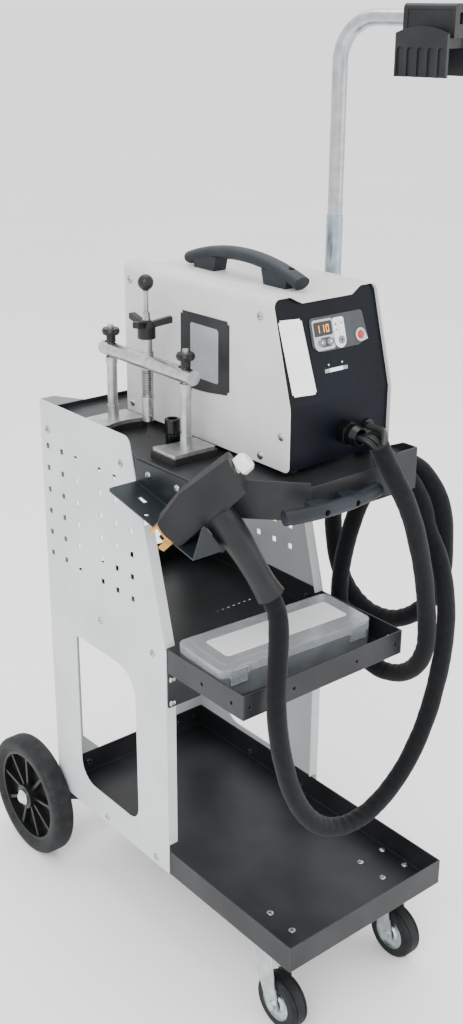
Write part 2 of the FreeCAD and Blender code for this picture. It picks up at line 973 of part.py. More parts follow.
def rear_axle():
    """The axle, its two spacers and the two push-on caps."""
    axle_z = rear_wheel_radius
    wheel_x = half_width + wheel_clearance
    end_x = wheel_x + rear_wheel_width
    shaft = rod(axle_radius, Vector(-end_x, rear_axle_y, axle_z), Vector(end_x, rear_axle_y, axle_z))
    start = Vector(wheel_x - run_gap, rear_axle_y, axle_z)
    spacer = tube(axle_spacer_radius, axle_radius,
                  Vector(inner_half - bracket_inset + run_gap, rear_axle_y, axle_z), start)
    cap = lathe([(0, 0), (axle_cap_radius, 0), (axle_cap_radius, axle_cap_edge),
                 (axle_cap_radius / 2, axle_cap_height),
                 (0, axle_cap_height)], [0, 0, axle_cap_edge / 2, axle_cap_edge, 0])
    cap = placed(cap, frame_at(Vector(end_x, rear_axle_y, axle_z), Vector(0, 0, 1), Vector(1, 0, 0)))
    return group([shaft, spacer, mirror_x(spacer), cap, mirror_x(cap)])


def wheel_place():
    """The right rear wheel's frame: its Z runs outward along the axle from the inner face."""
    return frame_at(Vector(half_width + wheel_clearance, rear_axle_y, rear_wheel_radius), Vector(0, 0, 1),
                    Vector(1, 0, 0))


def rear_tyre():
    """The rubber tyre of the right rear wheel."""
    low = rear_rim_radius
    profile = [(low, rear_rim_inset), (low, rear_wheel_width - rear_rim_inset),
               (low + tyre_shoulder, rear_wheel_width),
               (rear_wheel_radius, rear_wheel_width), (rear_wheel_radius, 0), (low + tyre_shoulder, 0)]
    return placed(lathe(profile, [0, 0, bend_radius, tyre_shoulder, tyre_shoulder, bend_radius]),
                  wheel_place())


def rear_hub():
    """The moulded hub of the right rear wheel, with its ribs on the outer side."""
    outer = rear_rim_radius - run_gap
    depth = rear_wheel_width - rear_rim_inset
    middle = rear_wheel_width / 2
    rim = Part.makeCylinder(outer, depth - rear_rim_inset, Vector(0, 0, rear_rim_inset))
    rim = rim.cut(Part.makeCylinder(outer - hub_wall, rear_wheel_width, Vector(0, 0, 0)))
    web = Part.makeCylinder(outer - hub_wall, hub_web, Vector(0, 0, middle - hub_web))
    boss = Part.makeCylinder(hub_boss_radius, rear_wheel_width - run_gap)
    parts = [rim, web, boss]
    for k in range(hub_spokes):
        rib = box(0, outer - hub_wall / 2, -hub_spoke_thickness / 2, hub_spoke_thickness / 2,
                  rear_rim_inset + hub_spoke_inset, depth - hub_spoke_inset / 2)
        parts.append(turned_about_z(rib, 360 * k / hub_spokes))
    hub = fuse(parts).cut(Part.makeCylinder(axle_radius + run_gap, rear_wheel_width))
    return placed(hub, wheel_place())


def castor_place():
    """The right castor's frame: at its swivel axis, on the tray's underside."""
    return FreeCAD.Placement(Vector(castor_x, castor_y, 0), FreeCAD.Rotation())


def castor_mount():
    """The right castor's top plate with its bearing cup and king pin."""
    half = castor_plate / 2
    under = tray_floor_z - castor_plate_thickness
    plate = slab_z(rectangle(-half, half, -half, half), under, tray_floor_z, castor_bolt_radius)
    holes = []
    for x in (-1, 1):
        for y in (-1, 1):
            reach = castor_plate * castor_bolt_share
            holes.append(Part.makeCylinder(screw_hole_radius, castor_plate_thickness,
                                           Vector(x * reach, y * reach, under)))
    cup = Part.makeCylinder(castor_bearing_radius, castor_bearing_height,
                            Vector(0, 0, under - castor_bearing_height))
    pin_low = under - castor_bearing_height - castor_plate_thickness - castor_bearing_height
    pin = Part.makeCylinder(castor_pin_radius, under - pin_low, Vector(0, 0, pin_low))
    head = Part.makeCylinder(castor_pin_head, castor_bearing_height - fit_gap - fit_gap,
                             Vector(0, 0, pin_low))
    return placed(fuse([plate.cut(group(holes)), cup, pin, head]), castor_place())


def castor_fork():
    """The right castor's fork with the axle bolt through its cheeks."""
    crown_top = tray_floor_z - castor_plate_thickness - castor_bearing_height - fit_gap
    crown_low = crown_top - castor_plate_thickness
    inner_x = castor_width / 2 + castor_fork_gap
    outer_x = inner_x + castor_fork_sheet
    half = castor_fork_width / 2
    crown = slab_z(rectangle(-outer_x, outer_x, -half, half), crown_low, crown_top, 0)
    crown = crown.cut(Part.makeCylinder(castor_pin_radius + run_gap, castor_bearing_height,
                                        Vector(0, 0, crown_low - sheet)))
    foot = castor_fork_foot
    cheek = slab_x([(-half, crown_top), (half, crown_top), (-castor_trail + foot, castor_radius - foot),
                    (-castor_trail - foot,
                     castor_radius - foot)], inner_x, outer_x, [0, 0, foot / 2, foot / 2])
    hole = rod(castor_bolt_radius + run_gap, Vector(-outer_x, -castor_trail, castor_radius),
               Vector(outer_x, -castor_trail, castor_radius))
    fork = fuse([crown, cheek, mirror_x(cheek)]).cut(hole)
    bolt = rod(castor_bolt_radius, Vector(-outer_x, -castor_trail, castor_radius),
               Vector(outer_x, -castor_trail, castor_radius))
    head = hexagon(castor_bolt_head, Vector(outer_x, -castor_trail, castor_radius), Vector(1, 0, 0),
                   castor_bolt_head_height)
    return placed(group([fork, fuse([bolt, head, mirror_x(head)])]), castor_place())


def castor_wheel_place():
    """The right castor wheel's frame: its Z runs outward along the bolt from the wheel's middle."""
    return frame_at(Vector(castor_x, castor_y - castor_trail, castor_radius), Vector(0, 0, 1),
                    Vector(1, 0, 0))


def castor_tyre():
    """The right castor's grooved tyre."""
    half = castor_width / 2
    body = lathe([(castor_disc_radius, -half), (castor_radius, -half), (castor_radius, half),
                  (castor_disc_radius, half)],
                 [0, castor_tread_round, castor_tread_round, 0])
    grooves = []
    for side in (-1, 1):
        middle = side * (half - castor_groove_place)
        grooves.append(lathe([(castor_radius - castor_groove, middle),
                              (castor_radius + castor_groove, middle - castor_groove),
                              (castor_radius + castor_groove, middle + castor_groove)]))
    return placed(body.cut(group(grooves)), castor_wheel_place())


def castor_disc():
    """The right castor's zinc disc with its boss."""
    half = castor_width / 2
    radius = castor_disc_radius - run_gap
    inner = half - castor_disc_dish
    disc = lathe([(0, -half), (castor_disc_boss, -half), (castor_disc_boss + castor_disc_dish, -inner),
                  (radius, -inner),
                  (radius, inner), (castor_disc_boss + castor_disc_dish, inner), (castor_disc_boss,
                                                                                  half), (0, half)])
    disc = disc.cut(Part.makeCylinder(castor_bolt_radius + run_gap, castor_width, Vector(0, 0, -half)))
    return placed(disc, castor_wheel_place())


def gun_holder():
    """The bent shelf on the left skirt that the gun stands in."""
    slope = math.tan(math.radians(holder_slope_deg))
    rear_y = front_y + holder_rear
    rear_z = top_tray_z - holder_rear_drop + sheet + holder_shelf_width / 2
    flange_y = rear_y - holder_flange_length
    flange = slab_x([(rear_y, rear_z), (rear_y, holder_top_z), (flange_y, holder_top_z),
                     (flange_y, rear_z - holder_flange_length * slope)], -half_width, -inner_half,
                    [0, bend_radius, bend_radius, 0])
    down = Vector(0, -math.cos(math.radians(holder_slope_deg)), -math.sin(math.radians(holder_slope_deg)))
    shelf_frame = frame_at(Vector(-half_width, rear_y, rear_z), down, down.cross(Vector(-1, 0, 0)))
    along = holder_length
    shelf = slab(rectangle(0, along, -sheet, holder_shelf_width), sheet, [0, 0, 0, holder_round])
    cuts = [slab(rectangle(holder_slot_along, holder_slot_along + holder_slot_length, holder_slot_in,
                           holder_slot_in + holder_slot_width), overrun + overrun),
            Part.makeCylinder(small_hole_radius, overrun + overrun,
                              Vector(holder_hole_along, holder_shelf_width - holder_hole_in, 0))]
    holes = group(cuts)
    holes.translate(Vector(0, 0, -overrun))
    shelf = placed(shelf.cut(holes), shelf_frame)
    end_y = rear_y - holder_length * math.cos(math.radians(holder_slope_deg))
    end_z = rear_z - holder_length * math.sin(math.radians(holder_slope_deg))
    outer_x = -half_width - holder_shelf_width
    gusset = slab_y([(outer_x, end_z), (-half_width, end_z),
                     (outer_x + holder_round + holder_round, end_z + holder_gusset_height)],
                    end_y, end_y + sheet, [0, 0, bend_radius])
    holder = fuse([flange, shelf, gusset])
    nose = gun_point(0, 0, 0)
    clearance = gun_nose_radius + bend_radius
    reach = gun_axis().multiply(holder_shelf_width)
    path = rod(clearance, nose.sub(reach), nose.add(reach))
    gun_room = placed(group([barrel_body(-fit_gap), grip_loft(-fit_gap, 0), trigger_block(fit_gap, 0)]),
                      gun_frame())
    low_edge = panel_front_edge(end_z) - fit_gap
    high_edge = panel_front_edge(holder_top_z) - fit_gap
    panel_room = slab_x([(low_edge, end_z), (panel_rear_y, end_z), (panel_rear_y, holder_top_z),
                         (high_edge, holder_top_z)],
                        -half_width, -inner_half + overrun)
    return holder.cut(path).cut(gun_room).cut(panel_room)


def gun_frame():
    """The gun's frame at its nose: X along the barrel to the rear, Z up in its plane of symmetry."""
    turn = math.radians(gun_turn_deg)
    tilt = math.radians(gun_tilt_deg)
    barrel = Vector(math.cos(turn) * math.cos(tilt), math.sin(turn) * math.cos(tilt), math.sin(tilt))
    up = Vector(-math.cos(turn) * math.sin(tilt), -math.sin(turn) * math.sin(tilt), math.cos(tilt))
    return frame_at(Vector(gun_nose_x, front_y + gun_nose_back, gun_nose_z), barrel, up)


def gun_point(along, across, up):
    """A point of the gun in the trolley's frame."""
    return gun_frame().multVec(Vector(along, across, up))


def gun_axis():
    """The barrel's direction, from the nose to the rear."""
    return gun_point(1, 0, 0).sub(gun_point(0, 0, 0))


def barrel_body(inset):
    """The gun's barrel housing, drawn in by an inset."""
    half = gun_half_width - inset
    side = [(gun_front_along + inset, -gun_low_front + inset),
            (gun_front_along + inset, gun_top_front - inset),
            (gun_mid_along, gun_top_mid - inset), (gun_length - inset, gun_top_rear - inset),
            (gun_length - gun_rear_rake - inset, -gun_low_rear + inset), (gun_mid_along,
                                                                          -gun_low_mid + inset)]
    body = slab_y(side, -half, half,
                  [bend_radius, bend_radius, gun_chamfer, bend_radius, bend_radius, gun_chamfer])
    top = gun_top_mid + bend_radius
    chamfer = gun_chamfer
    section = [(-half, -top + chamfer), (-half + chamfer, -top), (half - chamfer, -top),
               (half, -top + chamfer),
               (half, gun_top_rear - chamfer), (half - chamfer, gun_top_mid - inset), (-half + chamfer,
                                                                                       gun_top_mid - inset),
               (-half, gun_top_rear - chamfer)]
    return body.common(slab_x(section, 0, gun_length))


def grip_loft(inset, lengthen):
    """The gun's grip: a smooth round form through four rings, drawn in by an inset."""
    centres = [Vector(grip_top_along, 0, -grip_top_drop),
               Vector((grip_top_along + grip_bend_along) / 2 + bend_radius, 0,
                                                                  -(grip_top_drop + grip_bend_drop) / 2),
               Vector(grip_bend_along, 0, -grip_bend_drop), Vector(grip_end_along, 0, -grip_end_drop)]
    radii = [grip_top_radius, grip_top_radius, grip_mid_radius, grip_end_radius]
    rings = []
    for k in range(len(centres)):
        before = centres[max(0, k - 1)]
        after = centres[min(len(centres) - 1, k + 1)]
        direction = after.sub(before).normalize()
        centre = centres[k]
        if k == len(centres) - 1:
            centre = centre.add(Vector(direction).multiply(lengthen))
        rings.append(Part.Wire(Part.makeCircle(radii[k] - inset, centre, direction)))
    return Part.makeLoft(rings, True, False)


def grip_direction():
    """The grip's direction at its end, in the gun's frame."""
    return Vector(grip_end_along - grip_bend_along, 0, grip_bend_drop - grip_end_drop).normalize()


def grip_mouth_block(depth):
    """A round block over the last stretch of the grip, where its wall is solid round the hose."""
    end = Vector(grip_end_along, 0, -grip_end_drop)
    back = grip_direction().multiply(-1)
    start = end.sub(Vector(back).multiply(overrun + overrun))
    return Part.makeCylinder(grip_top_radius + overrun, depth + overrun + overrun, start, back)


def grip_bore():
    """The blind bore in the grip's end that takes the hose."""
    end = Vector(grip_end_along, 0, -grip_end_drop)
    back = grip_direction().multiply(-1)
    start = end.sub(Vector(back).multiply(overrun))
    return Part.makeCylinder(hose_radius + fit_gap, grip_mouth + overrun, start, back)


def trigger_block(grow, travel):
    """The trigger's bar through the front of the grip, grown by a clearance."""
    low = -trigger_drop - trigger_height / 2 - grow
    high = -trigger_drop + trigger_height / 2 + grow
    rear = trigger_along + trigger_depth + grow + travel
    front = trigger_along - trigger_stand - grow
    half = trigger_width / 2 + grow
    return box(front, rear, -half, half, low, high)


def gun_pieces():
    """The gun's two shells, trigger, rear cap, brass contact ring and electrode."""
    place = gun_frame()
    outer = fuse([barrel_body(0), grip_loft(0, 0)])
    nose_start = Vector(gun_front_along - bend_radius, 0, 0)
    nose_ring = Part.makeCylinder(gun_nose_radius, gun_nose_length + bend_radius, nose_start,
                                  Vector(1, 0, 0))
    outer = fuse([outer, nose_ring])
    grip_hollow = grip_loft(gun_wall, overrun).cut(grip_mouth_block(grip_mouth + grip_mouth_floor))
    hollow = barrel_body(gun_wall).fuse(grip_hollow)
    shell = outer.cut(hollow).cut(grip_bore())
    bore = rod(prong_ring_bore, Vector(-overrun, 0, 0), Vector(gun_nose_length + overrun, 0, 0))
    stem = rod(cap_stem_radius + run_gap, Vector(gun_length - cap_stem_length, 0, 0),
               Vector(gun_length + overrun, 0, 0))
    shell = shell.cut(bore).cut(stem).cut(trigger_block(fit_gap, 0))
    big = gun_length + grip_end_drop
    left = shell.common(box(-big, big, -big, 0, -big, big))
    right = shell.common(box(-big, big, 0, big, -big, big))
    nodes["gun_left_shell"] = placed(left, place)
    nodes["gun_right_shell"] = placed(right, place)

    trigger = trigger_block(0, 0)
    flange_half = trigger_width / 2 + sheet
    flange_back = trigger_along + trigger_depth
    flange = box(flange_back - sheet, flange_back, -flange_half, flange_half,
                 -trigger_drop - trigger_height / 2, -trigger_drop + trigger_height / 2)
    nodes["gun_trigger"] = placed(fuse([trigger, flange]), place)

    rake = gun_rear_rake * gun_top_rear / (gun_top_rear + gun_low_rear)
    cap_start = gun_length - rake + bend_radius + sheet
    cap = slab(polygon(cap_facets, cap_radius), cap_height)
    cap = cap.common(Part.makeCone(cap_radius + cap_height / 2, cap_radius / 2, cap_height + overrun))
    stem_pin = Part.makeCylinder(cap_stem_radius, cap_stem_length, Vector(0, 0, -cap_stem_length))
    cap = fuse([cap, stem_pin])
    cap_place = frame_at(Vector(cap_start, 0, 0), Vector(0, 0, 1), Vector(1, 0, 0))
    nodes["gun_rear_cap"] = placed(placed(cap, cap_place), place)

    ring = tube(gun_nose_radius, prong_ring_bore,
                Vector(gun_front_along - bend_radius - prong_ring_thickness, 0, 0),
                Vector(gun_front_along - bend_radius, 0, 0))
    prongs = [ring]
    ring_front = gun_front_along - bend_radius - prong_ring_thickness
    for k in range(prong_count):
        prong = box(ring_front - prong_length, ring_front + sheet, -prong_width / 2, prong_width / 2,
                    gun_nose_radius - prong_thickness, gun_nose_radius - fit_gap)
        prong.rotate(Vector(0, 0, 0), Vector(1, 0, 0), 360 * k / prong_count)
        prongs.append(prong)

    tip = rod(electrode_tip_radius, Vector(ring_front - electrode_length, 0, 0), Vector(ring_front, 0, 0))
    chuck = rod(electrode_radius, Vector(ring_front, 0, 0), Vector(electrode_shank, 0, 0))
    collar = rod(prong_ring_bore - run_gap, Vector(gun_front_along, 0, 0), Vector(gun_nose_length, 0, 0))
    nodes["gun_contacts"] = placed(group([fuse(prongs), fuse([tip, chuck, collar])]), place)


def cover_section(inset, floor_z):
    """The welder's cross-section with its channel along the top, drawn in by an inset, as (x, z)."""
    slant = math.hypot(channel_slope, channel_depth)
    shift = inset * (slant - channel_slope) / channel_depth
    left = welder_left_x + inset
    right = welder_right_x - inset
    top = welder_top_z - inset
    floor = top - channel_depth
    low_left = welder_mid_x - channel_width / 2 - shift
    low_right = welder_mid_x + channel_width / 2 + shift
    return [(left, floor_z), (left, top), (low_left - channel_slope, top), (low_left, floor),
            (low_right, floor), (low_right + channel_slope, top), (right, top), (right, floor_z)]


def section_radii(inset):
    """The bend radii that go with the welder's cross-section."""
    return [0, welder_corner - inset, bend_radius, bend_radius, bend_radius, bend_radius,
            welder_corner - inset, 0]


def side_profile(front_inset, rear_inset, low_inset, top_z):
    """The welder's side view with its slanted front, as (y, z)."""
    rise = welder_top_z - welder_knee_z
    front = welder_front_y + front_inset
    high_y = front + welder_lean * (top_z - welder_knee_z) / rise
    return [(welder_rear_y - rear_inset, welder_base_z + low_inset), (welder_rear_y - rear_inset, top_z),
            (high_y, top_z), (front, welder_knee_z), (front, welder_base_z + low_inset)]


def front_slant():
    """The front's lean from upright, in radians."""
    return math.atan(welder_lean / (welder_top_z - welder_knee_z))


def front_frame():
    """The slanted front's frame: X to the right, Y up the slope, Z outward, at the left of the knee."""
    angle = front_slant()
    outward = Vector(0, -math.cos(angle), math.sin(angle))
    return frame_at(Vector(welder_left_x, welder_front_y + front_recess, welder_knee_z), Vector(1, 0, 0),
                    outward)


def keypad_frame():
    """The control panel's frame, at its lower left corner on the slanted front."""
    return front_frame().multiply(FreeCAD.Placement(Vector(keypad_left, keypad_up, 0),
                                                    FreeCAD.Rotation()))


def welder_screw_spots():
    """The screws in the cover's two sides."""
    spots = []
    top = welder_top_z - side_screw_top
    for back, z in ((welder_length - side_screw_rear, top),
                    (welder_length - side_screw_rear, welder_base_z + side_screw_rear),
                    (front_screw_top_back, top), (front_screw_middle_back, welder_top_z - side_screw_low),
                    (front_screw_low_back, welder_top_z - front_screw_low_drop)):
        spots.append((Vector(welder_left_x, welder_front_y + back, z), Vector(1, 0, 0)))
        spots.append((Vector(welder_right_x, welder_front_y + back, z), Vector(-1, 0, 0)))
    return spots


def key_centres():
    """The two oval keys' centres on the control panel."""
    return [(key_left, key_up), (key_left + key_pitch, key_up)]


def key_hole(width, height, radius, grow):
    """A rounded opening or plunger about the origin of the panel's plane."""
    half_w = width / 2 + grow
    half_h = height / 2 + grow
    return slab(rectangle(-half_w, half_w, -half_h, half_h), overrun + overrun + overrun, radius)


def panel_openings(grow):
    """What passes through the control panel and the front plate, in the panel's frame."""
    cuts = []
    for x, y in key_centres():
        hole = key_hole(key_width, key_height, key_round, grow)
        hole.translate(Vector(x, y, 0))
        cuts.append(hole)
    for x, y, radius in ((select_left, select_up, select_radius), (red_left, red_up, red_radius)):
        cuts.append(Part.makeCylinder(radius + grow, overrun + overrun + overrun, Vector(x, y, 0)))
    holes = group(cuts)
    holes.translate(Vector(0, 0, -overrun - overrun))
    return holes


def plunger(shape_face, flange_face, x, y):
    """A button: a cap through the panel and a flange behind the front plate."""
    low = -sheet - fit_gap - key_flange_thickness
    cap = shape_face.extrude(Vector(0, 0, keypad_thickness + key_stand - low))
    cap.translate(Vector(x, y, low))
    flange = flange_face.extrude(Vector(0, 0, key_flange_thickness))
    flange.translate(Vector(x, y, low))
    return placed(fuse([cap, flange]), keypad_frame())


def make_buttons():
    """The two oval keys, the round select button and the red button."""
    half_w = key_width / 2
    half_h = key_height / 2
    face = Part.Face(outline(rectangle(-half_w, half_w, -half_h, half_h), key_round))
    wide = half_w + key_flange
    # The flanges stay narrower than the pitch between the two keys
    narrow = min(wide, (key_pitch - fit_gap) / 2)
    flange = Part.Face(outline(rectangle(-narrow, narrow, -half_h - key_flange, half_h + key_flange), 0))
    for name, (x, y) in zip(("left_key", "right_key"), key_centres()):
        nodes[name] = plunger(face, flange, x, y)
    for name, x, y, radius in (("select_button", select_left, select_up, select_radius),
                               ("red_button", red_left, red_up, red_radius)):
        nodes[name] = plunger(Part.Face(Part.Wire(Part.makeCircle(radius))),
                              Part.Face(Part.Wire(Part.makeCircle(radius + key_flange))), x, y)


def control_panel():
    """The membrane panel with the red button's raised bezel."""
    points = [(0, keypad_skew), (0, keypad_height), (keypad_width - keypad_lean, keypad_height),
              (keypad_width, keypad_skew), (keypad_width - keypad_tail, 0), (keypad_toe, 0)]
    plate = slab(points, keypad_thickness, keypad_round)
    bezel = Part.makeCylinder(bezel_reach, keypad_thickness + bezel_stand, Vector(red_left, red_up, 0))
    plate = fuse([plate, bezel]).cut(panel_openings(fit_gap))
    window = box(display_left, display_left + display_width, display_up, display_up + display_height,
                 keypad_thickness - display_thickness, keypad_thickness)
    nodes["display_window"] = placed(window, keypad_frame())
    return placed(plate.cut(window), keypad_frame())


def rear_openings():
    """The holes in the rear plate: fan, vents, mains gland and switch."""
    y0 = welder_rear_y - rear_recess - sheet - overrun
    y1 = welder_rear_y + overrun
    fan_x = welder_left_x + fan_left
    fan_z = welder_base_z + fan_up
    cuts = []
    for row in range(vent_rows + 1):
        z = fan_z + (row - vent_rows / 2) * vent_pitch
        reach = math.sqrt(fan_bore ** 2 - (z - fan_z) ** 2) - vent_slot / 2
        cuts.append(box(fan_x - reach, fan_x - sheet, y0, y1, z - vent_slot / 2, z + vent_slot / 2))
        cuts.append(box(fan_x + sheet, fan_x + reach, y0, y1, z - vent_slot / 2, z + vent_slot / 2))
    gland_x = welder_left_x + mains_gland_left
    gland_z = welder_base_z + mains_gland_up
    cuts.append(rod(mains_gland_radius / 2 + fit_gap, Vector(gland_x, y0, gland_z),
                    Vector(gland_x, y1, gland_z)))
    switch_x = welder_left_x + switch_left
    switch_z = welder_base_z + switch_up
    cuts.append(box(switch_x - switch_width / 2 - fit_gap, switch_x + switch_width / 2 + fit_gap, y0, y1,
                    switch_z - switch_height / 2 - fit_gap, switch_z + switch_height / 2 + fit_gap))
    return cuts


def front_openings():
    """The holes in the front plate for the gland and the grommet."""
    y0 = welder_front_y - overrun
    y1 = welder_front_y + front_recess + sheet + overrun
    cuts = []
    for left, radius in ((gland_left, gland_thread_radius + fit_gap),
                         (grommet_left, grommet_radius - sheet)):
        x = welder_left_x + left
        z = welder_base_z + gland_up
        cuts.append(rod(radius, Vector(x, y0, z), Vector(x, y1, z)))
    return cuts


def make_welder():
    """The welder's cover and its folded chassis."""
    low = welder_base_z
    cover = slab_y(cover_section(0, low), welder_front_y, welder_rear_y, section_radii(0))
    cover = cover.common(slab_x(side_profile(0, 0, 0, welder_top_z), welder_left_x, welder_right_x,
                                [0, 0, 0, panel_knee_radius, welder_front_corner]))
    hollow = slab_y(cover_section(sheet, low - overrun), welder_front_y - overrun,
                    welder_rear_y + overrun, section_radii(sheet))
    cover = cover.cut(hollow)

    inset = sheet + fit_gap
    room = slab_y(cover_section(inset, low), welder_front_y, welder_rear_y, section_radii(inset))
    top = welder_top_z + overrun
    outer = slab_x(side_profile(front_recess, rear_recess, 0, top), welder_left_x, welder_right_x)
    inner = slab_x(side_profile(front_recess + sheet, rear_recess + sheet, sheet, top + overrun),
                   welder_left_x, welder_right_x)
    band = outer.cut(inner)
    wide = slab_x(side_profile(front_recess + chassis_flange, rear_recess + chassis_flange,
                               chassis_flange, top + overrun),
                  welder_left_x, welder_right_x)
    rim = outer.cut(wide)
    left_wall = box(welder_left_x + inset, welder_left_x + inset + sheet, welder_front_y, welder_rear_y,
                    low, welder_top_z)
    right_wall = box(welder_right_x - inset - sheet, welder_right_x - inset, welder_front_y,
                     welder_rear_y, low, welder_top_z)
    chassis = fuse([band.common(room), rim.common(left_wall).common(room),
                    rim.common(right_wall).common(room)])
    chassis = chassis.cut(group(rear_openings() + front_openings()))
    chassis = chassis.cut(placed(panel_openings(fit_gap), keypad_frame()))
    spots = welder_screw_spots()
    nodes["welder_cover"] = drill(cover, spots)
    nodes["welder_chassis"] = drill(chassis, spots)
    feet = []
    for x in (welder_left_x + welder_foot_inset, welder_right_x - welder_foot_inset):
        for y in (welder_front_y + welder_foot_inset, welder_rear_y - welder_foot_inset):
            feet.append(Part.makeCylinder(welder_foot_radius, welder_foot_height,
                                          Vector(x, y, top_tray_z)))
    nodes["welder_feet"] = group(feet)
    nodes["control_panel"] = control_panel()
    make_buttons()


def bowed_handle(length, rise, bow, width, thickness, leg_inset, leg, foot_share):
    """A handle along X: a bowed oval bar on two legs, its feet at z 0."""
    chord = length / 2
    radius = (chord ** 2 + bow ** 2) / (2 * bow)
    ring = Part.Ellipse(Vector(0, 0, 0), width / 2, thickness / 2) if width >= thickness else None
    if ring is None:
        ring = Part.Ellipse(Vector(0, thickness / 2, 0), Vector(width / 2, 0, 0), Vector(0, 0, 0))
    face = Part.Face(Part.Wire(ring.toShape()))
    sweep = 2 * math.degrees(math.asin(chord / radius))
    # The oval stands in the plane across the bar at its middle, then turns about the bow's centre
    face = placed(face, frame_at(Vector(0, 0, rise - thickness / 2), Vector(0, 1, 0), Vector(1, 0, 0)))
    centre = Vector(0, 0, rise - thickness / 2 - radius)
    face.rotate(centre, Vector(0, 1, 0), -sweep / 2)
    bar = face.revolve(centre, Vector(0, 1, 0), sweep)
    parts = [bar]
    top = rise - thickness / 2 - bow / 2
    half = width * foot_share
    for side in (-1, 1):
        outer = side * (chord - leg_inset)
        inner = side * (chord - leg_inset - leg)
        points = [(outer + side * handle_leg_taper, top), (outer, 0), (inner, 0),
                  (inner - side * handle_leg_taper, top)]
        parts.append(slab_y(points, -half, half))
    return fuse(parts)


def make_handles():
    """The welder's carrying handle and the trolley's front handle."""
    handle = bowed_handle(handle_length, handle_rise, handle_bow, handle_width, handle_thickness,
                          handle_leg_inset, handle_leg, handle_leg_width / handle_width / 2)
    front = handle_length / 2 - handle_leg_inset
    spot = Vector(front, 0, handle_rise)
    hole = rod(handle_hole_radius, spot.sub(Vector(0, 0, handle_hole_depth + handle_hole_depth)), spot)
    middle_y = welder_front_y + handle_front + handle_length / 2
    place = frame_at(Vector(welder_mid_x, middle_y, welder_top_z - channel_depth), Vector(0, -1, 0),
                     Vector(0, 0, 1))
    nodes["welder_handle"] = placed(handle.cut(hole), place)
    bar = bowed_handle(front_handle_length, front_handle_rise, front_handle_bow, front_handle_width,
                       front_handle_thickness, front_handle_leg_inset, front_handle_leg,
                       handle_leg_width / handle_width / 2)
    reach = front_handle_length / 2 - front_handle_leg_inset - front_handle_leg / 2
    deep = Vector(0, 0, handle_hole_depth)
    for x in (-reach, reach):
        spot = Vector(x, 0, front_handle_rise)
        bar = bar.cut(rod(handle_hole_radius, spot.sub(deep), spot.add(deep)))
    middle_x = -inner_half + front_handle_left + front_handle_length / 2
    place = frame_at(Vector(middle_x, top_front_y,
                            top_tray_z - front_handle_drop - front_handle_width / 2),
                     Vector(1, 0, 0), Vector(0, -1, 0))
    nodes["front_handle"] = placed(bar, place)


def gland(nut_radius_here, thread_radius, bore, nut_length, ring_length, dome_length):
    """A cable gland along Z from the plate's outer face, with its thread and lock nut behind."""
    nut = slab(polygon(6, nut_radius_here), nut_length)
    scale = gland_ring_radius / gland_nut_radius
    ring = Part.makeCylinder(nut_radius_here * scale, ring_length, Vector(0, 0, nut_length))
    dome = Part.makeCone(nut_radius_here * scale, bore + sheet, dome_length,
                         Vector(0, 0, nut_length + ring_length))
    behind = sheet + gland_lock_height
    thread = Part.makeCylinder(thread_radius, behind, Vector(0, 0, -behind))
    lock = slab(polygon(6, nut_radius_here), gland_lock_height)
    lock.translate(Vector(0, 0, -behind))
    whole = fuse([nut, ring, dome, thread, lock])
    mouth = nut_length + ring_length + dome_length
    return whole.cut(Part.makeCylinder(bore, tail_dip, Vector(0, 0, mouth - tail_dip)))


def make_cable_entries():
    """The front gland and grommet, the rear mains gland and the mains switch."""
    gland_x = welder_left_x + gland_left
    z = welder_base_z + gland_up
    front = welder_front_y + front_recess
    front_gland = gland(gland_nut_radius, gland_thread_radius, gland_bore, gland_nut_length,
                        gland_ring_length,
                        gland_dome_length)
    front_gland = placed(front_gland,
                         frame_at(Vector(gland_x, front, z), Vector(0, 0, 1), Vector(0, -1, 0)))
    neck = grommet_radius - sheet - run_gap
    ring = lathe([(grommet_bore, -sheet - grommet_stand), (grommet_radius, -sheet - grommet_stand),
                  (grommet_radius, -sheet), (neck, -sheet), (neck, 0), (grommet_radius, 0),
                  (grommet_radius, grommet_stand), (grommet_bore, grommet_stand), (grommet_bore, 0),
                  (0, 0), (0, -sheet), (grommet_bore, -sheet)])
    ring = placed(ring,
                  frame_at(Vector(welder_left_x + grommet_left, front, z), Vector(0, 0, 1),
                           Vector(0, -1, 0)))
    rear = welder_rear_y - rear_recess
    share = mains_gland_radius / gland_nut_radius
    mains = gland(mains_gland_radius, mains_gland_radius / 2, mains_gland_radius / 2 - sheet,
                  gland_nut_length * share,
                  gland_ring_length * share, gland_dome_length * share)
    mains_spot = Vector(welder_left_x + mains_gland_left, rear, welder_base_z + mains_gland_up)
    mains = placed(mains, frame_at(mains_spot, Vector(0, 0, 1), Vector(0, 1, 0)))
    nodes["cable_glands"] = group([front_gland, ring, mains])
    x = welder_left_x + switch_left
    z = welder_base_z + switch_up
    half_w = switch_width / 2
    half_h = switch_height / 2
    edge_w = half_w + switch_bezel
    edge_h = half_h + switch_bezel
    housing = box(x - half_w, x + half_w, rear - switch_depth, rear, z - half_h, z + half_h)
    bezel = box(x - edge_w, x + edge_w, rear, rear + sheet, z - edge_h, z + edge_h)
    wall = sheet
    pocket = box(x - half_w + wall, x + half_w - wall, rear - switch_depth + wall + wall, rear + overrun,
                 z - half_h + wall, z + half_h - wall)
    eyes = switch_pin(switch_pin_radius + fit_gap, half_w + overrun)
    nodes["switch_housing"] = fuse([housing, bezel]).cut(pocket).cut(eyes)
    nodes["switch_rocker"] = switch_rocker_solid()


def switch_pivot():
    """The rocker's axis: a point on it, inside the switch housing."""
    return Vector(welder_left_x + switch_left, welder_rear_y - rear_recess - switch_rocker,
                  welder_base_z + switch_up)


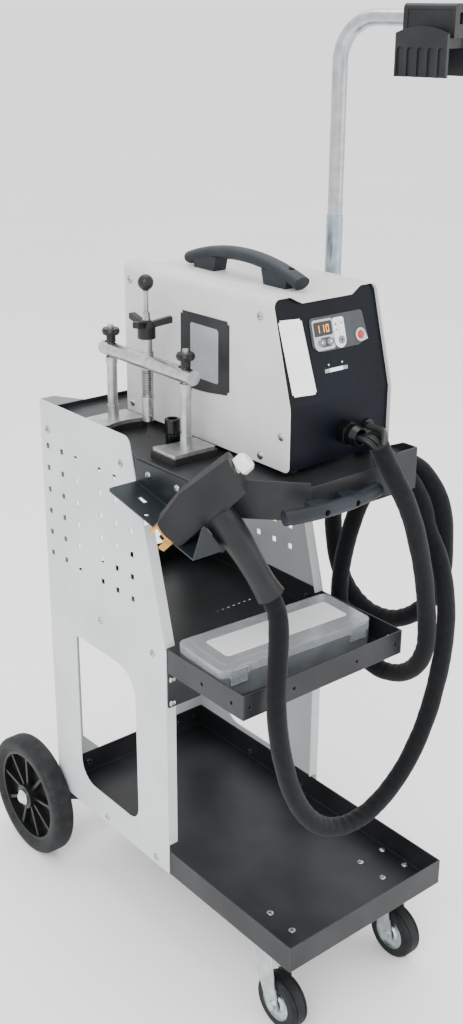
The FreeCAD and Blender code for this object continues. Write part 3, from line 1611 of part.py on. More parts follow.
def switch_pin(radius, reach):
    """A round bar across the switch, on the rocker's axis."""
    side = Vector(reach, 0, 0)
    return rod(radius, switch_pivot().sub(side), switch_pivot().add(side))


def switch_rocker_solid():
    """The mains switch's rocker: a shallow V on a pin, that turns about its middle."""
    pivot = switch_pivot()
    half_w = switch_width / 2 - sheet - switch_gap
    reach = switch_height / 2 - sheet - switch_gap - sheet
    lift = reach * math.tan(math.radians(switch_tilt_deg))
    face_y = switch_rocker + sheet
    points = [(-switch_rocker / 2, -reach), (-switch_rocker / 2, reach), (face_y + lift, reach),
              (face_y, 0), (face_y + lift, -reach)]
    rocker = slab_x(points, -half_w, half_w)
    rocker.translate(pivot)
    rocker.rotate(pivot, Vector(1, 0, 0), switch_tilt_deg)
    return fuse([rocker, switch_pin(switch_pin_radius, switch_width / 2 - fit_gap)])


def make_inside():
    """What the welder holds: fan, capacitor bank, control board and supply."""
    fan_x = welder_left_x + fan_left
    fan_z = welder_base_z + fan_up
    rear = welder_rear_y - rear_recess - sheet
    half = fan_side / 2
    body = box(fan_x - half, fan_x + half, rear - fan_depth, rear, fan_z - half, fan_z + half)
    bore = rod(fan_bore, Vector(fan_x, rear - fan_depth - overrun, fan_z),
               Vector(fan_x, rear + overrun, fan_z))
    front = rear - fan_depth
    arms = [rod(fan_hub_radius, Vector(fan_x, front, fan_z), Vector(fan_x, front + fan_arm, fan_z)),
            box(fan_x - half, fan_x + half, front, front + fan_arm, fan_z - fan_arm / 2,
                fan_z + fan_arm / 2),
            box(fan_x - fan_arm / 2, fan_x + fan_arm / 2, front, front + fan_arm, fan_z - half,
                fan_z + half)]
    pin = rod(fan_pin_radius, Vector(fan_x, front, fan_z), Vector(fan_x, rear - fan_arm, fan_z))
    nodes["fan_frame"] = fuse([body.cut(bore)] + arms + [pin])
    hub_start = fan_arm + fit_gap
    hub_end = fan_depth - fan_arm / 2
    hub = Part.makeCylinder(fan_hub_radius, hub_end - hub_start, Vector(0, 0, hub_start))
    blades = [hub]
    for k in range(fan_blades):
        blade = box(0, fan_bore - fan_blade_gap, -fan_blade_thickness / 2, fan_blade_thickness / 2,
                    -fan_depth, fan_depth)
        blade.rotate(Vector(0, 0, (hub_start + hub_end) / 2), Vector(1, 0, 0), fan_blade_tilt_deg)
        blades.append(turned_about_z(blade, 360 * k / fan_blades))
    envelope = Part.makeCylinder(fan_bore - fan_blade_gap, hub_end - hub_start - fit_gap - fit_gap,
                                 Vector(0, 0, hub_start + fit_gap))
    rotor = fuse([fuse(blades).common(envelope), hub]).cut(Part.makeCylinder(fan_pin_radius + run_gap,
                                                                             fan_depth))
    nodes["fan_rotor"] = placed(rotor,
                                frame_at(Vector(fan_x, front, fan_z), Vector(0, 0, 1), Vector(0, 1, 0)))

    floor = welder_base_z + sheet
    cans = []
    for row in range(2):
        y = welder_rear_y - can_rear - row * can_pitch
        for column in range(can_columns):
            x = welder_left_x + can_left + column * can_pitch
            cans.append(Part.makeCylinder(can_radius, can_height, Vector(x, y, floor)))
        x0 = welder_left_x + can_left - bus_width / 2
        x1 = x0 + (can_columns - 1) * can_pitch + bus_width
        cans.append(box(x0, x1, y - bus_width / 2, y + bus_width / 2, floor + can_height,
                        floor + can_height + bus_thickness))
    nodes["capacitor_bank"] = group(cans)

    y0 = welder_front_y + front_recess + board_front
    y1 = y0 + board_length
    x0 = welder_mid_x - board_width / 2
    x1 = welder_mid_x + board_width / 2
    top = floor + board_stand + board_thickness
    board = [box(x0, x1, y0, y1, floor + board_stand, top)]
    for x in (x0 + board_post_inset, x1 - board_post_inset):
        for y in (y0 + board_post_inset, y1 - board_post_inset):
            board.append(Part.makeCylinder(board_post_radius, board_stand, Vector(x, y, floor)))
    sink_x = x0 + board_post_inset + board_post_inset
    sink_y = y0 + board_post_inset + board_post_inset
    fins = [box(sink_x, sink_x + sink_width, sink_y, sink_y + sink_length, top, top + sink_base)]
    for k in range(sink_fins):
        x = sink_x + k * (sink_width - sink_fin) / (sink_fins - 1)
        fins.append(box(x, x + sink_fin, sink_y, sink_y + sink_length, top, top + sink_height))
    board.append(fuse(fins))

    y0 = welder_front_y + welder_length / 2 - supply_length / 2
    high = floor + can_height + bus_thickness + supply_up
    shelf_z = high - sheet
    wall = welder_left_x + sheet + fit_gap + sheet
    supply = box(welder_mid_x - supply_width / 2, welder_mid_x + supply_width / 2, y0, y0 + supply_length,
                 high,
                 high + supply_height)
    right = welder_right_x - sheet - fit_gap - sheet
    leg = board_stand
    shelf = [box(wall, right, y0, y0 + supply_length, shelf_z, high),
             box(wall, wall + sheet, y0, y0 + leg, floor, high),
             box(right - sheet, right, y0, y0 + leg, floor, high),
             box(wall, wall + sheet, y0 + supply_length - leg, y0 + supply_length, floor, high),
             box(right - sheet, right, y0 + supply_length - leg, y0 + supply_length, floor, high)]
    nodes["electronics"] = group(board + [fuse(shelf), supply])


def arm_frame():
    """The mast arm's frame: X along the arm, Z up, at the mast's axis on the floor."""
    angle = math.radians(mast_turn_deg)
    return frame_at(Vector(mast_x, mast_y, 0), Vector(math.cos(angle), math.sin(angle), 0),
                    Vector(0, 0, 1))


def bent_tube(radius, low_z):
    """A round bar up the mast, round its bend and out along the arm, in the arm's frame."""
    straight_top = mast_arm_z - mast_bend
    upright = Part.makeCylinder(radius, straight_top - low_z, Vector(0, 0, low_z))
    section = Part.Face(Part.Wire(Part.makeCircle(radius, Vector(0, 0, straight_top), Vector(0, 0, 1))))
    bend = section.revolve(Vector(mast_bend, 0, straight_top), Vector(0, 1, 0), 90)
    arm_end = saddle_start + saddle_socket
    arm = Part.makeCylinder(radius, arm_end - mast_bend, Vector(mast_bend, 0, mast_arm_z),
                            Vector(1, 0, 0))
    return fuse([upright, bend, arm])


def make_mast():
    """The lower tube with its welded plate, and the upper bent tube that turns in it."""
    foot = Vector(mast_x, mast_y, mast_foot_z)
    top = Vector(mast_x, mast_y, mast_seam_z)
    half = mast_plate / 2
    plate = box(inner_half, inner_half + mast_plate_thickness, mast_y - half, mast_y + half, mast_foot_z,
                mast_foot_z + mast_plate_height)
    bore = rod(mast_radius - mast_wall, foot, top)
    lower = fuse([rod(mast_radius, foot, top), plate]).cut(bore)
    lower_stop = rod(mast_radius - mast_wall, foot, foot.add(Vector(0, 0, mast_plate_thickness)))
    nodes["mast_lower_tube"] = drill(fuse([lower, lower_stop]), mast_screws)
    upper = bent_tube(mast_upper_radius, mast_seam_z - mast_insert)
    hollow = bent_tube(mast_upper_radius - mast_wall, mast_seam_z - mast_insert)
    nodes["mast_upper_tube"] = placed(upper.cut(hollow), arm_frame())
    nodes["cable_saddle"] = placed(cable_saddle(), arm_frame())


def saddle_wing_solid():
    """One wing of the cable saddle, with its arched lip and its row of pockets."""
    start = saddle_start
    end = saddle_start + saddle_length
    top = mast_arm_z - saddle_lip
    low = mast_arm_z - saddle_drop
    middle = (start + end) / 2
    inner = saddle_half_width - saddle_wing
    ends = mast_arm_z - saddle_lip_end
    edge = [Part.Arc(Vector(start, inner, ends), Vector(middle, inner, top),
                     Vector(end, inner, ends)).toShape(),
            Part.makeLine(Vector(end, inner, ends), Vector(end, inner, low)),
            Part.makeLine(Vector(end, inner, low), Vector(start, inner, low)),
            Part.makeLine(Vector(start, inner, low), Vector(start, inner, ends))]
    wing = Part.Face(Part.Wire(edge)).extrude(Vector(0, saddle_wing, 0))
    pitch = saddle_length / saddle_pockets
    half = saddle_pocket_width / 2
    floor_v = saddle_half_width - saddle_pocket_depth
    pocket_top = low + saddle_pocket_top
    cuts = []
    for k in range(saddle_pockets):
        u = start + pitch * k + pitch / 2
        cuts.append(box(u - half, u + half, floor_v, saddle_half_width + overrun, low - overrun,
                        pocket_top))
        cuts.append(Part.makeCylinder(half, overrun + saddle_pocket_depth, Vector(u, floor_v, pocket_top),
                                      Vector(0, 1, 0)))
    return wing.cut(group(cuts))


def cable_saddle():
    """The moulded head on the arm's end that the hose is laid over, in the arm's frame."""
    start = saddle_start
    end = saddle_start + saddle_length
    top = mast_arm_z + saddle_top
    cap_low = mast_arm_z - saddle_cap_under
    half = saddle_cap_half
    cap = slab_x([(-half, cap_low), (-half, top), (half, top), (half, cap_low)], start, end,
                 [0, saddle_cap_round, saddle_cap_round, 0])
    inset = saddle_panel_inset
    recess = box(start + inset, end - inset, half - saddle_panel, half + overrun, cap_low + inset,
                 top - saddle_cap_round)
    other = box(start + inset, end - inset, -half - overrun, -half + saddle_panel, cap_low + inset,
                top - saddle_cap_round)
    slot = box(end - inset, end + overrun, -saddle_slot_width / 2, saddle_slot_width / 2,
               mast_arm_z - saddle_slot_height / 2, mast_arm_z + saddle_slot_height / 2)
    cap = cap.cut(recess).cut(other).cut(slot)
    web_top = cap_low + sheet
    web_low = mast_arm_z - saddle_web_under
    web = box(start + saddle_web_inset, end - saddle_web_inset, -saddle_half_width + sheet,
              saddle_half_width - sheet,
              web_low, web_top)
    wing = saddle_wing_solid()
    mirrored = wing.mirror(Vector(0, 0, 0), Vector(0, 1, 0))
    head = fuse([cap, web, wing, mirrored])
    socket = Part.makeCylinder(mast_upper_radius + run_gap, saddle_socket + run_gap,
                               Vector(start, 0, mast_arm_z), Vector(1, 0, 0))
    return head.cut(socket)


def puller_place(y_offset=0):
    """The puller's frame: X across it, Y along its bar, at the tray's top under the spindle."""
    return FreeCAD.Placement(Vector(puller_x, puller_y + y_offset, 0), FreeCAD.Rotation())


def crossbar():
    """The round bar with its two slots and the bush that guides the spindle."""
    half = puller_span / 2 + puller_overhang
    bar = rod(puller_bar_radius, Vector(0, -half, puller_bar_z), Vector(0, half, puller_bar_z))
    top = puller_bar_z + puller_bar_radius
    bush = Part.makeCylinder(bush_radius, bush_height, Vector(0, 0, top))
    collar = Part.makeCylinder(bush_collar_radius, bush_collar_height + puller_bar_radius,
                               Vector(0, 0, puller_bar_z))
    whole = fuse([bar, bush, collar])
    reach = clamp_travel + puller_slot_margin
    for side in (-1, 1):
        y = side * puller_span / 2
        slot = slab_z(rectangle(-puller_slot_width / 2, puller_slot_width / 2,
                                y - reach - puller_slot_width / 2,
                                y + reach + puller_slot_width / 2),
                      puller_bar_z - puller_bar_radius - overrun, top + overrun, puller_stem_radius)
        whole = whole.cut(slot)
    bore = Part.makeCylinder(spindle_thread_radius + run_gap,
                             bush_height + bush_height + puller_bar_radius * 2,
                             Vector(0, 0, puller_bar_z - puller_bar_radius - overrun))
    return placed(whole.cut(bore), puller_place())


def puller_leg(side):
    """A leg of the puller: column with its stem, foot plate and rubber pad."""
    y = side * puller_span / 2
    bar_low = puller_bar_z - puller_bar_radius
    plate_low = top_tray_z + puller_pad_thickness
    plate_top = plate_low + puller_plate_thickness
    column = Part.makeCylinder(puller_leg_radius, bar_low - fit_gap - plate_top, Vector(0, y, plate_top))
    collar = Part.makeCylinder(puller_collar_radius, puller_collar_height, Vector(0, y, plate_top))
    low_collar = Part.makeCylinder(puller_collar_radius, puller_collar_height / 2,
                                   Vector(0, y, bar_low - fit_gap - puller_collar_height / 2))
    stem = Part.makeCylinder(puller_stem_radius, puller_bar_radius * 2 + puller_stem_height,
                             Vector(0, y, bar_low - fit_gap))
    near = y - side * puller_foot_width * (1 - puller_foot_back_share)
    far = y + side * puller_foot_width * puller_foot_back_share
    half = puller_foot_length / 2
    low_y = min(near, far)
    high_y = max(near, far)
    arc = Part.makeCylinder(puller_foot_arc, plate_top,
                            Vector(0, near - side * (puller_foot_arc - puller_foot_round), 0))
    plate = slab_z(rectangle(-half, half, low_y, high_y), plate_low, plate_top,
                   puller_foot_round / 2).cut(arc)
    edge = puller_pad_edge
    pad = slab_z(rectangle(-half - edge, half + edge, low_y - edge, high_y + edge), top_tray_z, plate_low,
                 puller_foot_round)
    arc = Part.makeCylinder(puller_foot_arc - edge, plate_top,
                            Vector(0, near - side * (puller_foot_arc - puller_foot_round), 0))
    pad = pad.cut(arc)
    return placed(group([fuse([column, collar, low_collar, stem, plate]), pad]), puller_place())


def fluted_knob(side):
    """A black clamp knob on a leg's stem, with flutes round its head."""
    low = puller_bar_z + puller_bar_radius + fit_gap
    neck = Part.makeCylinder(knob_neck_radius, knob_neck_height, Vector(0, 0, low))
    head = lathe([(0, 0), (knob_radius - sheet, 0), (knob_radius, knob_height / 2),
                  (knob_radius - sheet, knob_height),
                  (0, knob_height)], [0, sheet, 0, sheet, 0])
    head.translate(Vector(0, 0, low + knob_neck_height))
    flutes = []
    for k in range(knob_lobes):
        angle = 2 * math.pi * k / knob_lobes
        reach = knob_radius + knob_flute_radius / 2
        flutes.append(Part.makeCylinder(knob_flute_radius, knob_height * 2,
                                        Vector(reach * math.cos(angle), reach * math.sin(angle),
                                               low + knob_neck_height)))
    knob = fuse([neck, head.cut(group(flutes))])
    knob = knob.cut(Part.makeCylinder(puller_stem_radius + run_gap, puller_stem_height - sheet,
                                      Vector(0, 0, low)))
    return placed(knob, puller_place(side * puller_span / 2))


def spindle():
    """The pulling spindle with its spring seat and slotted claw."""
    top = ball_top_z - ball_radius
    thread_low = spring_seat_z
    thread = Part.makeCylinder(spindle_thread_radius, spindle_thread_top_z - thread_low,
                               Vector(0, 0, thread_low))
    neck = Part.makeCylinder(spindle_radius, top - spindle_thread_top_z,
                             Vector(0, 0, spindle_thread_top_z))
    seat = Part.makeCylinder(spring_seat_radius, spring_seat_height,
                             Vector(0, 0, spring_seat_z - spring_seat_height))
    claw_top = spring_seat_z - spring_seat_height
    claw = Part.makeCylinder(claw_radius, claw_top - claw_bottom_z, Vector(0, 0, claw_bottom_z))
    hook_top = claw_bottom_z + claw_hook_height
    half = claw_slot_wide / 2
    slot = box(-half, half, -claw_radius - overrun, claw_radius + overrun, hook_top,
               claw_bottom_z + claw_slot_height)
    half = claw_slot / 2
    mouth = box(-half, half, -claw_radius - overrun, claw_radius + overrun, claw_bottom_z - overrun,
                hook_top)
    return placed(group([fuse([thread, neck, seat, claw.cut(slot).cut(mouth)]), ball_knob()]),
                  puller_place())


def ball_knob():
    """The ball on the spindle's top."""
    centre = Vector(0, 0, ball_top_z - ball_radius)
    ball = Part.makeSphere(ball_radius, centre)
    flat = Part.makeCylinder(ball_neck_radius, ball_radius, centre.sub(Vector(0, 0, ball_radius)))
    below = Vector(0, 0, ball_radius + overrun)
    socket = Part.makeCylinder(spindle_radius, ball_radius + overrun, centre.sub(below))
    return fuse([ball, flat]).cut(socket)


def wing_nut():
    """The three-armed nut that draws the spindle up."""
    low = puller_bar_z + puller_bar_radius + bush_height + fit_gap
    hub = Part.makeCylinder(nut_hub_radius, nut_hub_height, Vector(0, 0, low))
    top = low + nut_hub_height
    parts = [hub, Part.makeCone(nut_hub_radius, nut_hub_radius / 2, nut_arm_height, Vector(0, 0, top))]
    half = nut_arm_width / 2
    tip_low = top + nut_arm_rise
    tip_top = tip_low + nut_arm_height
    side = [(0, top - nut_arm_rise), (nut_arm, tip_low), (nut_arm, tip_top), (nut_arm - half, tip_top),
            (0, top + nut_arm_height / 2)]
    for k in range(nut_arms):
        arm = slab_y(side, -half, half, [0, sheet, sheet, sheet, 0])
        parts.append(turned_about_z(arm, 360 * k / nut_arms + 90))
    nut = fuse(parts).cut(Part.makeCylinder(spindle_thread_radius + run_gap, nut_hub_height + nut_arm,
                                            Vector(0, 0, low)))
    return placed(nut, puller_place())


def biarc(start, start_dir, end, end_dir):
    """Two arcs that leave one point and reach another along given directions."""
    span = end.sub(start)
    both = start_dir.add(end_dir)
    square = 4 - both.dot(both)
    along = span.dot(both)
    reach = (-along + math.sqrt(along * along + square * span.dot(span))) / square
    first = start.add(Vector(start_dir).multiply(reach))
    second = end.sub(Vector(end_dir).multiply(reach))
    middle = first.add(second).multiply(1 / 2)
    arcs = []
    for a, corner, b in ((start, first, middle), (middle, second, end)):
        half_chord = b.sub(a).Length / 2
        base = a.add(b).multiply(1 / 2)
        rise = corner.sub(base)
        angle = math.atan(rise.Length / half_chord)
        top = base.add(rise.normalize().multiply(half_chord * math.tan(angle / 2)))
        arcs.append(Part.Arc(a, top, b).toShape())
    return arcs


def make_spring():
    """The return spring: an unbroken helix between its seat and the bar, in quarter turns."""
    low = spring_seat_z + spring_wire_radius
    high = puller_bar_z - puller_bar_radius - spring_wire_radius - fit_gap
    radius = spring_radius
    quarters = 4 * spring_turns
    rise = (high - low) / quarters
    slope = math.atan(rise * 4 / (2 * math.pi * radius))
    points = []
    ways = []
    for k in range(quarters + 1):
        angle = math.pi / 2 * k
        points.append(Vector(radius * math.cos(angle), radius * math.sin(angle), low + k * rise))
        ways.append(Vector(-math.sin(angle) * math.cos(slope), math.cos(angle) * math.cos(slope),
                           math.sin(slope)))
    arcs = []
    for k in range(quarters):
        arcs += biarc(points[k], ways[k], points[k + 1], ways[k + 1])
    path = Part.Wire(arcs)
    ring = Part.Wire(Part.makeCircle(spring_wire_radius, points[0], ways[0]))
    spring = path.makePipeShell([ring], True, False)
    samples = []
    for arc in arcs:
        samples += arc.discretize(spring_samples + 1)[:-1]
    turn = len(samples) // spring_turns
    nearest = spring_radius
    for i in range(0, len(samples), spring_sample_step):
        for other in samples[i + turn // 2:i + 2 * turn]:
            nearest = min(nearest, samples[i].distanceToPoint(other))
    print("spring gap", round(nearest - 2 * spring_wire_radius, 2))
    return placed(spring, puller_place())


def spare_cup():
    """The black socket that stands on the tray beside the puller."""
    y = front_y + cup_back
    profile = [(0, 0), (cup_radius - cup_waist, 0), (cup_radius - cup_waist, cup_band_height),
               (cup_radius, cup_band_height),
               (cup_radius, cup_height), (cup_bore, cup_height), (cup_bore, cup_height - cup_bore_depth),
               (0, cup_height - cup_bore_depth)]
    cup = lathe(profile, [0, sheet, 0, sheet, sheet, 0, 0, 0])
    cup.translate(Vector(cup_x, y, top_tray_z))
    return cup


def make_puller():
    """The puller's pieces and the spare cup."""
    nodes["puller_crossbar"] = crossbar()
    for name, side in (("front", -1), ("rear", 1)):
        nodes["puller_leg_" + name] = puller_leg(side)
        nodes["clamp_knob_" + name] = fluted_knob(side)
    nodes["puller_spindle"] = spindle()
    nodes["wing_nut"] = wing_nut()
    nodes["puller_spring"] = make_spring()
    nodes["spare_cup"] = spare_cup()


def organiser_frame():
    """The organiser's frame at its left front bottom corner: X along it, Y to its back."""
    origin = Vector(box_left_x, middle_front_y + box_front, middle_tray_z + sheet)
    return FreeCAD.Placement(origin, FreeCAD.Rotation(Vector(0, 0, 1), box_turn_deg))


def box_shell(low, high, floor_low, wall_inset):
    """A rounded open shell of the organiser between two heights, its floor plate at a height."""
    outer = slab_z(rectangle(0, box_length, 0, box_depth), low, high, box_round)
    inset = wall_inset
    inner = slab_z(rectangle(inset, box_length - inset, inset, box_depth - inset), low - overrun,
                   high + overrun, box_round - inset)
    floor = slab_z(rectangle(0, box_length, 0, box_depth), floor_low, floor_low + box_wall, box_round)
    return fuse([outer.cut(inner), floor])


def organiser_base():
    """The organiser's base with its dividers and hinge knuckles."""
    base = box_shell(0, box_base_height, 0, box_wall)
    parts = [base]
    for k in range(1, box_cells):
        x = box_length * k / box_cells
        parts.append(box(x - box_wall / 2, x + box_wall / 2, box_wall, box_depth - box_wall, box_wall,
                         box_base_height - box_step))
    y = hinge_y
    z = box_base_height
    for x in (hinge_inset, box_length - hinge_inset - hinge_knuckle):
        knuckle = rod(hinge_radius, Vector(x, y, z), Vector(x + hinge_knuckle, y, z))
        web = box(x, x + hinge_knuckle, box_depth - box_wall, y, z - hinge_radius, z - fit_gap)
        side = 1 if x < box_length / 2 else -1
        pin_start = x + hinge_knuckle if side > 0 else x
        pin = rod(hinge_pin_radius, Vector(pin_start, y, z),
                  Vector(pin_start + side * hinge_knuckle, y, z))
        parts += [knuckle, web, pin]
    return placed(fuse(parts), organiser_frame())


def organiser_lid():
    """The organiser's lid with its raised panel, hinge knuckles and latch lugs."""
    low = box_base_height + fit_gap
    high = low + box_lid_height
    lid = box_shell(low, high, high - box_wall, box_wall)
    inset = box_panel_inset
    panel = slab_z(rectangle(inset, box_length - inset, inset, box_depth - inset), high,
                   high + box_panel_rise, box_round / 2)
    parts = [lid, panel]
    y = hinge_y
    z = box_base_height
    for x in (hinge_inset + hinge_knuckle + fit_gap,
              box_length - hinge_inset - hinge_knuckle - hinge_knuckle + fit_gap):
        length = hinge_knuckle - fit_gap - fit_gap
        knuckle = rod(hinge_radius, Vector(x, y, z), Vector(x + length, y, z))
        web = box(x, x + length, box_depth - box_wall, y, z + fit_gap, z + hinge_radius)
        bore = rod(hinge_pin_radius + run_gap, Vector(x - overrun, y, z),
                   Vector(x + length + overrun, y, z))
        parts.append(fuse([knuckle, web]).cut(bore))
    pin_z = box_base_height + latch_hinge_up
    pin_y = -fit_gap - latch_thickness / 2
    for x in latch_starts():
        for lug_x in (x - fit_gap - latch_lug, x + latch_width + fit_gap):
            parts.append(box(lug_x, lug_x + latch_lug, -fit_gap - latch_thickness, box_wall, low,
                             pin_z + latch_thickness / 2))
        parts.append(rod(latch_pin_radius, Vector(x - fit_gap, pin_y, pin_z),
                         Vector(x + latch_width + fit_gap, pin_y, pin_z)))
    return placed(fuse(parts), organiser_frame())


def latch_starts():
    """Where the two latches start along the organiser's front."""
    return [latch_inset, box_length - latch_inset - latch_width]


def latch(x):
    """A latch plate that hangs from the lid over the base's front."""
    pin_z = box_base_height + latch_hinge_up
    pin_y = -fit_gap - latch_thickness / 2
    half = latch_thickness / 2
    low_z = pin_z - latch_height
    side = [(pin_y - half, pin_z), (pin_y + half, pin_z), (pin_y + half, low_z), (pin_y - half, low_z)]
    plate = slab_x(side, x, x + latch_width, [0, 0, sheet / 2, sheet / 2])
    eye = rod(half, Vector(x, pin_y, pin_z), Vector(x + latch_width, pin_y, pin_z))
    bore = rod(latch_pin_radius + run_gap, Vector(x, pin_y, pin_z), Vector(x + latch_width, pin_y, pin_z))
    return placed(fuse([plate, eye]).cut(bore), organiser_frame())


def hose_hook():
    """The bent rod on the right skirt that carries the spare loops of the hose."""
    y = front_y + hook_back
    half = hook_plate_length / 2
    x0 = inner_half
    z = hook_top_z - hook_rod_radius
    plate = box(x0, x0 + hook_plate_thickness, y - half, y + half,
                hook_plate_top_z - hook_plate_height, hook_plate_top_z)
    bend_x = x0 + hook_reach - hook_bend
    arm = rod(hook_rod_radius, Vector(x0 + hook_plate_thickness / 2, y, z), Vector(bend_x, y, z))
    section = Part.Face(Part.Wire(Part.makeCircle(hook_rod_radius, Vector(bend_x, y, z),
                                                  Vector(1, 0, 0))))
    bend = section.revolve(Vector(bend_x, y, z + hook_bend), Vector(0, -1, 0), 90)
    tip = rod(hook_rod_radius, Vector(bend_x + hook_bend, y, z + hook_bend),
              Vector(bend_x + hook_bend, y, z + hook_bend + hook_tip))
    ball = Part.makeSphere(hook_rod_radius, Vector(bend_x + hook_bend, y, z + hook_bend + hook_tip))
    return drill(fuse([plate, arm, bend, tip, ball]), hook_screws)


def route_tube(points, radius, label):
    """A tube of straight runs joined by tangent arcs along hand-chosen points."""
    corners = [Vector(*point) for point in points]
    last = len(corners) - 1
    edges = []
    start = corners[0]
    radii = []
    for i in range(1, last):
        here = corners[i]
        back = corners[i - 1].sub(here)
        ahead = corners[i + 1].sub(here)
        turn = math.pi - back.getAngle(ahead)
        bend = route_arc_share * min(back.Length, ahead.Length) / math.tan(turn / 2)
        reach = bend * math.tan(turn / 2)
        entry = here.add(Vector(back).normalize().multiply(reach))
        leave = here.add(Vector(ahead).normalize().multiply(reach))
        bisector = Vector(back).normalize().add(Vector(ahead).normalize()).normalize()
        middle = here.add(bisector.multiply(bend / math.cos(turn / 2) - bend))
        edges.append(Part.makeLine(start, entry))
        edges.append(Part.Arc(entry, middle, leave).toShape())
        radii.append(round(bend))
        start = leave
    edges.append(Part.makeLine(start, corners[last]))
    path = Part.Wire(edges)
    ring = Part.Wire(Part.makeCircle(radius, corners[0], corners[1].sub(corners[0])))
    solid = path.makePipeShell([ring], True, False)
    share = solid.Volume / (math.pi * radius ** 2 * path.Length)
    print(label, "length", round(path.Length), "radii", radii, "volume share", round(share, 4),
          solid.isValid())
    return solid


# The hose's route, from its sleeve under the gland to the grip, chosen by hand
hose_points = [
    (58.5, -275, 803.6), (70, -285, 771), (86, -291, 742), (103, -293.5, 709), (120, -293, 669),
    (138, -290, 622), (154, -286, 573), (165, -282.5, 526), (168, -281, 470), (168, -247.8, 425),
    (168, -194, 408.5), (168, -140.2, 426), (168, -107, 472), (169, -104, 530), (178, -106, 582),
    (195, -108, 631.5), (209, -116, 667.7), (215, -139, 700), (215, -170, 720), (215, -207, 721),
    (215, -240, 696), (215, -256, 663.7), (215, -260, 629.6), (214, -264, 592), (210, -259, 552),
    (204, -236, 512), (199, -198, 483), (197, -152, 474), (195.5, -108, 487), (195, -75, 524),
    (194, -62, 573), (193, -60, 623), (191, -69, 663.7), (189, -98, 699), (188, -146, 722),
    (188, -206, 719), (188, -241, 681.5), (187, -252, 648.6), (188, -273, 618.4), (192, -286, 577),
    (199, -289, 520), (199, -286, 458), (184, -285, 388), (155, -284.5, 325), (112, -285, 280),
    (60, -285.5, 255), (5, -285, 256), (-42, -285, 284), (-79, -285, 340), (-101, -285, 405),
    (-110, -281.5, 465), (-108, -276.5, 505), (-98.5, -267, 544), (-87, -257.5, 581.6)]

# The three cables between the welder's front and the hose's sleeve, chosen by hand
tail_points = [
    [(45.3, -242, 810), (45.3, -256, 810), (49.2, -268, 807.5), (54, -275, 798.7)],
    [(54.7, -242, 810), (54.7, -254, 810), (59.5, -264.5, 810.5), (63.4, -271.3, 800.9)],
    [(91, -221, 810), (91, -238, 810), (83, -258, 813.5), (71, -273, 813), (61, -281.2, 803)]]


def hose_end():
    """The hose's last two points: in line with the grip, and on the floor of its bore."""
    end = Vector(grip_end_along, 0, -grip_end_drop)
    outward = grip_direction()
    floor_point = end.sub(Vector(outward).multiply(grip_mouth))
    before = end.add(Vector(outward).multiply(grip_lead))
    return [tuple(gun_point(*before)), tuple(gun_point(*floor_point))]


def make_hose():
    """The hose from its sleeve to the grip, and the three cables that run into it."""
    nodes["hose"] = route_tube(hose_points + hose_end(), hose_radius, "hose")
    start = Vector(*hose_points[0])
    ahead = Vector(*hose_points[1]).sub(start).normalize()
    cutter = Part.makeCylinder(hose_radius + hose_radius, hose_radius, start, ahead)
    tails = []
    for k, points in enumerate(tail_points):
        tails.append(route_tube(points, tail_radius, "tail " + str(k + 1)).cut(cutter))
    nodes["cable_tails"] = group(tails)


def make_fasteners():
    """Every screw with its nut, in one group."""
    stack = sheet + sheet
    screws = []
    for spots in (panel_screws, tab_screws, rear_screws, holder_screws):
        screws += [screw(spot, stack) for spot in spots]
    screws += [screw(spot, mast_plate_thickness + sheet) for spot in mast_screws]
    screws += [screw(spot, hook_plate_thickness + sheet) for spot in hook_screws]
    screws += [screw(spot, sheet + castor_plate_thickness) for spot in castor_screws]
    screws += [screw(spot, stack + fit_gap) for spot in welder_screw_spots()]
    return group(screws)


def make_trolley():
    """The trolley's trays, panels, wheels and holders."""
    panel = side_panel()
    left_spots = panel_screws + tab_screws + rear_screws + holder_screws
    right_spots = panel_screws + tab_screws + rear_screws + mast_screws + hook_screws
    nodes["left_side_panel"] = drill(panel, left_spots)
    nodes["right_side_panel"] = drill(mirror_x(panel), right_spots)
    every_spot = panel_screws + tab_screws + rear_screws + holder_screws + mast_screws + hook_screws
    nodes["bottom_tray"] = drill(open_tray(front_y, tray_floor_z, tray_rim),
                                 panel_screws + rear_screws + castor_screws)
    nodes["middle_tray"] = drill(middle_tray(), panel_screws + tab_screws)
    nodes["top_tray"] = drill(top_tray(), every_spot)
    mount = castor_mount()
    nodes["undercarriage"] = group([axle_brackets(), mount, mirror_x(mount)])
    nodes["rear_axle"] = rear_axle()
    fork = castor_fork()
    wheel = group([castor_tyre(), castor_disc()])
    tyre = rear_tyre()
    hub = rear_hub()
    for name, shape in (("castor_fork", fork), ("castor_wheel", wheel), ("rear_tyre", tyre),
                        ("rear_hub", hub)):
        nodes[name + "_right"] = shape
        nodes[name + "_left"] = mirror_x(shape)
    nodes["gun_holder"] = drill(gun_holder(), holder_screws)
    nodes["hose_hook"] = hose_hook()


def make_organiser():
    """The organiser box with its lid and two latches."""
    nodes["organiser_base"] = organiser_base()
    nodes["organiser_lid"] = organiser_lid()
    for name, x in zip(("left_latch", "right_latch"), latch_starts()):
        nodes[name] = latch(x)


def export_all():
    """Move every node so that the origin is under the middle of the object's box, and write them."""
    os.makedirs("parts", exist_ok=True)
    bounds = FreeCAD.BoundBox()
    for name, shape in nodes.items():
        if name not in ("hose", "cable_tails"):
            bounds.add(shape.optimalBoundingBox(False))
    shift = Vector(-(bounds.XMin + bounds.XMax) / 2, -(bounds.YMin + bounds.YMax) / 2, -bounds.ZMin)
    print("shift", [round(value, 3) for value in shift], "nodes", len(nodes))
    for name, shape in nodes.items():
        moved = shape.copy()
        moved.translate(shift)
        moved.exportStep("parts/" + name + ".step")
    return shift


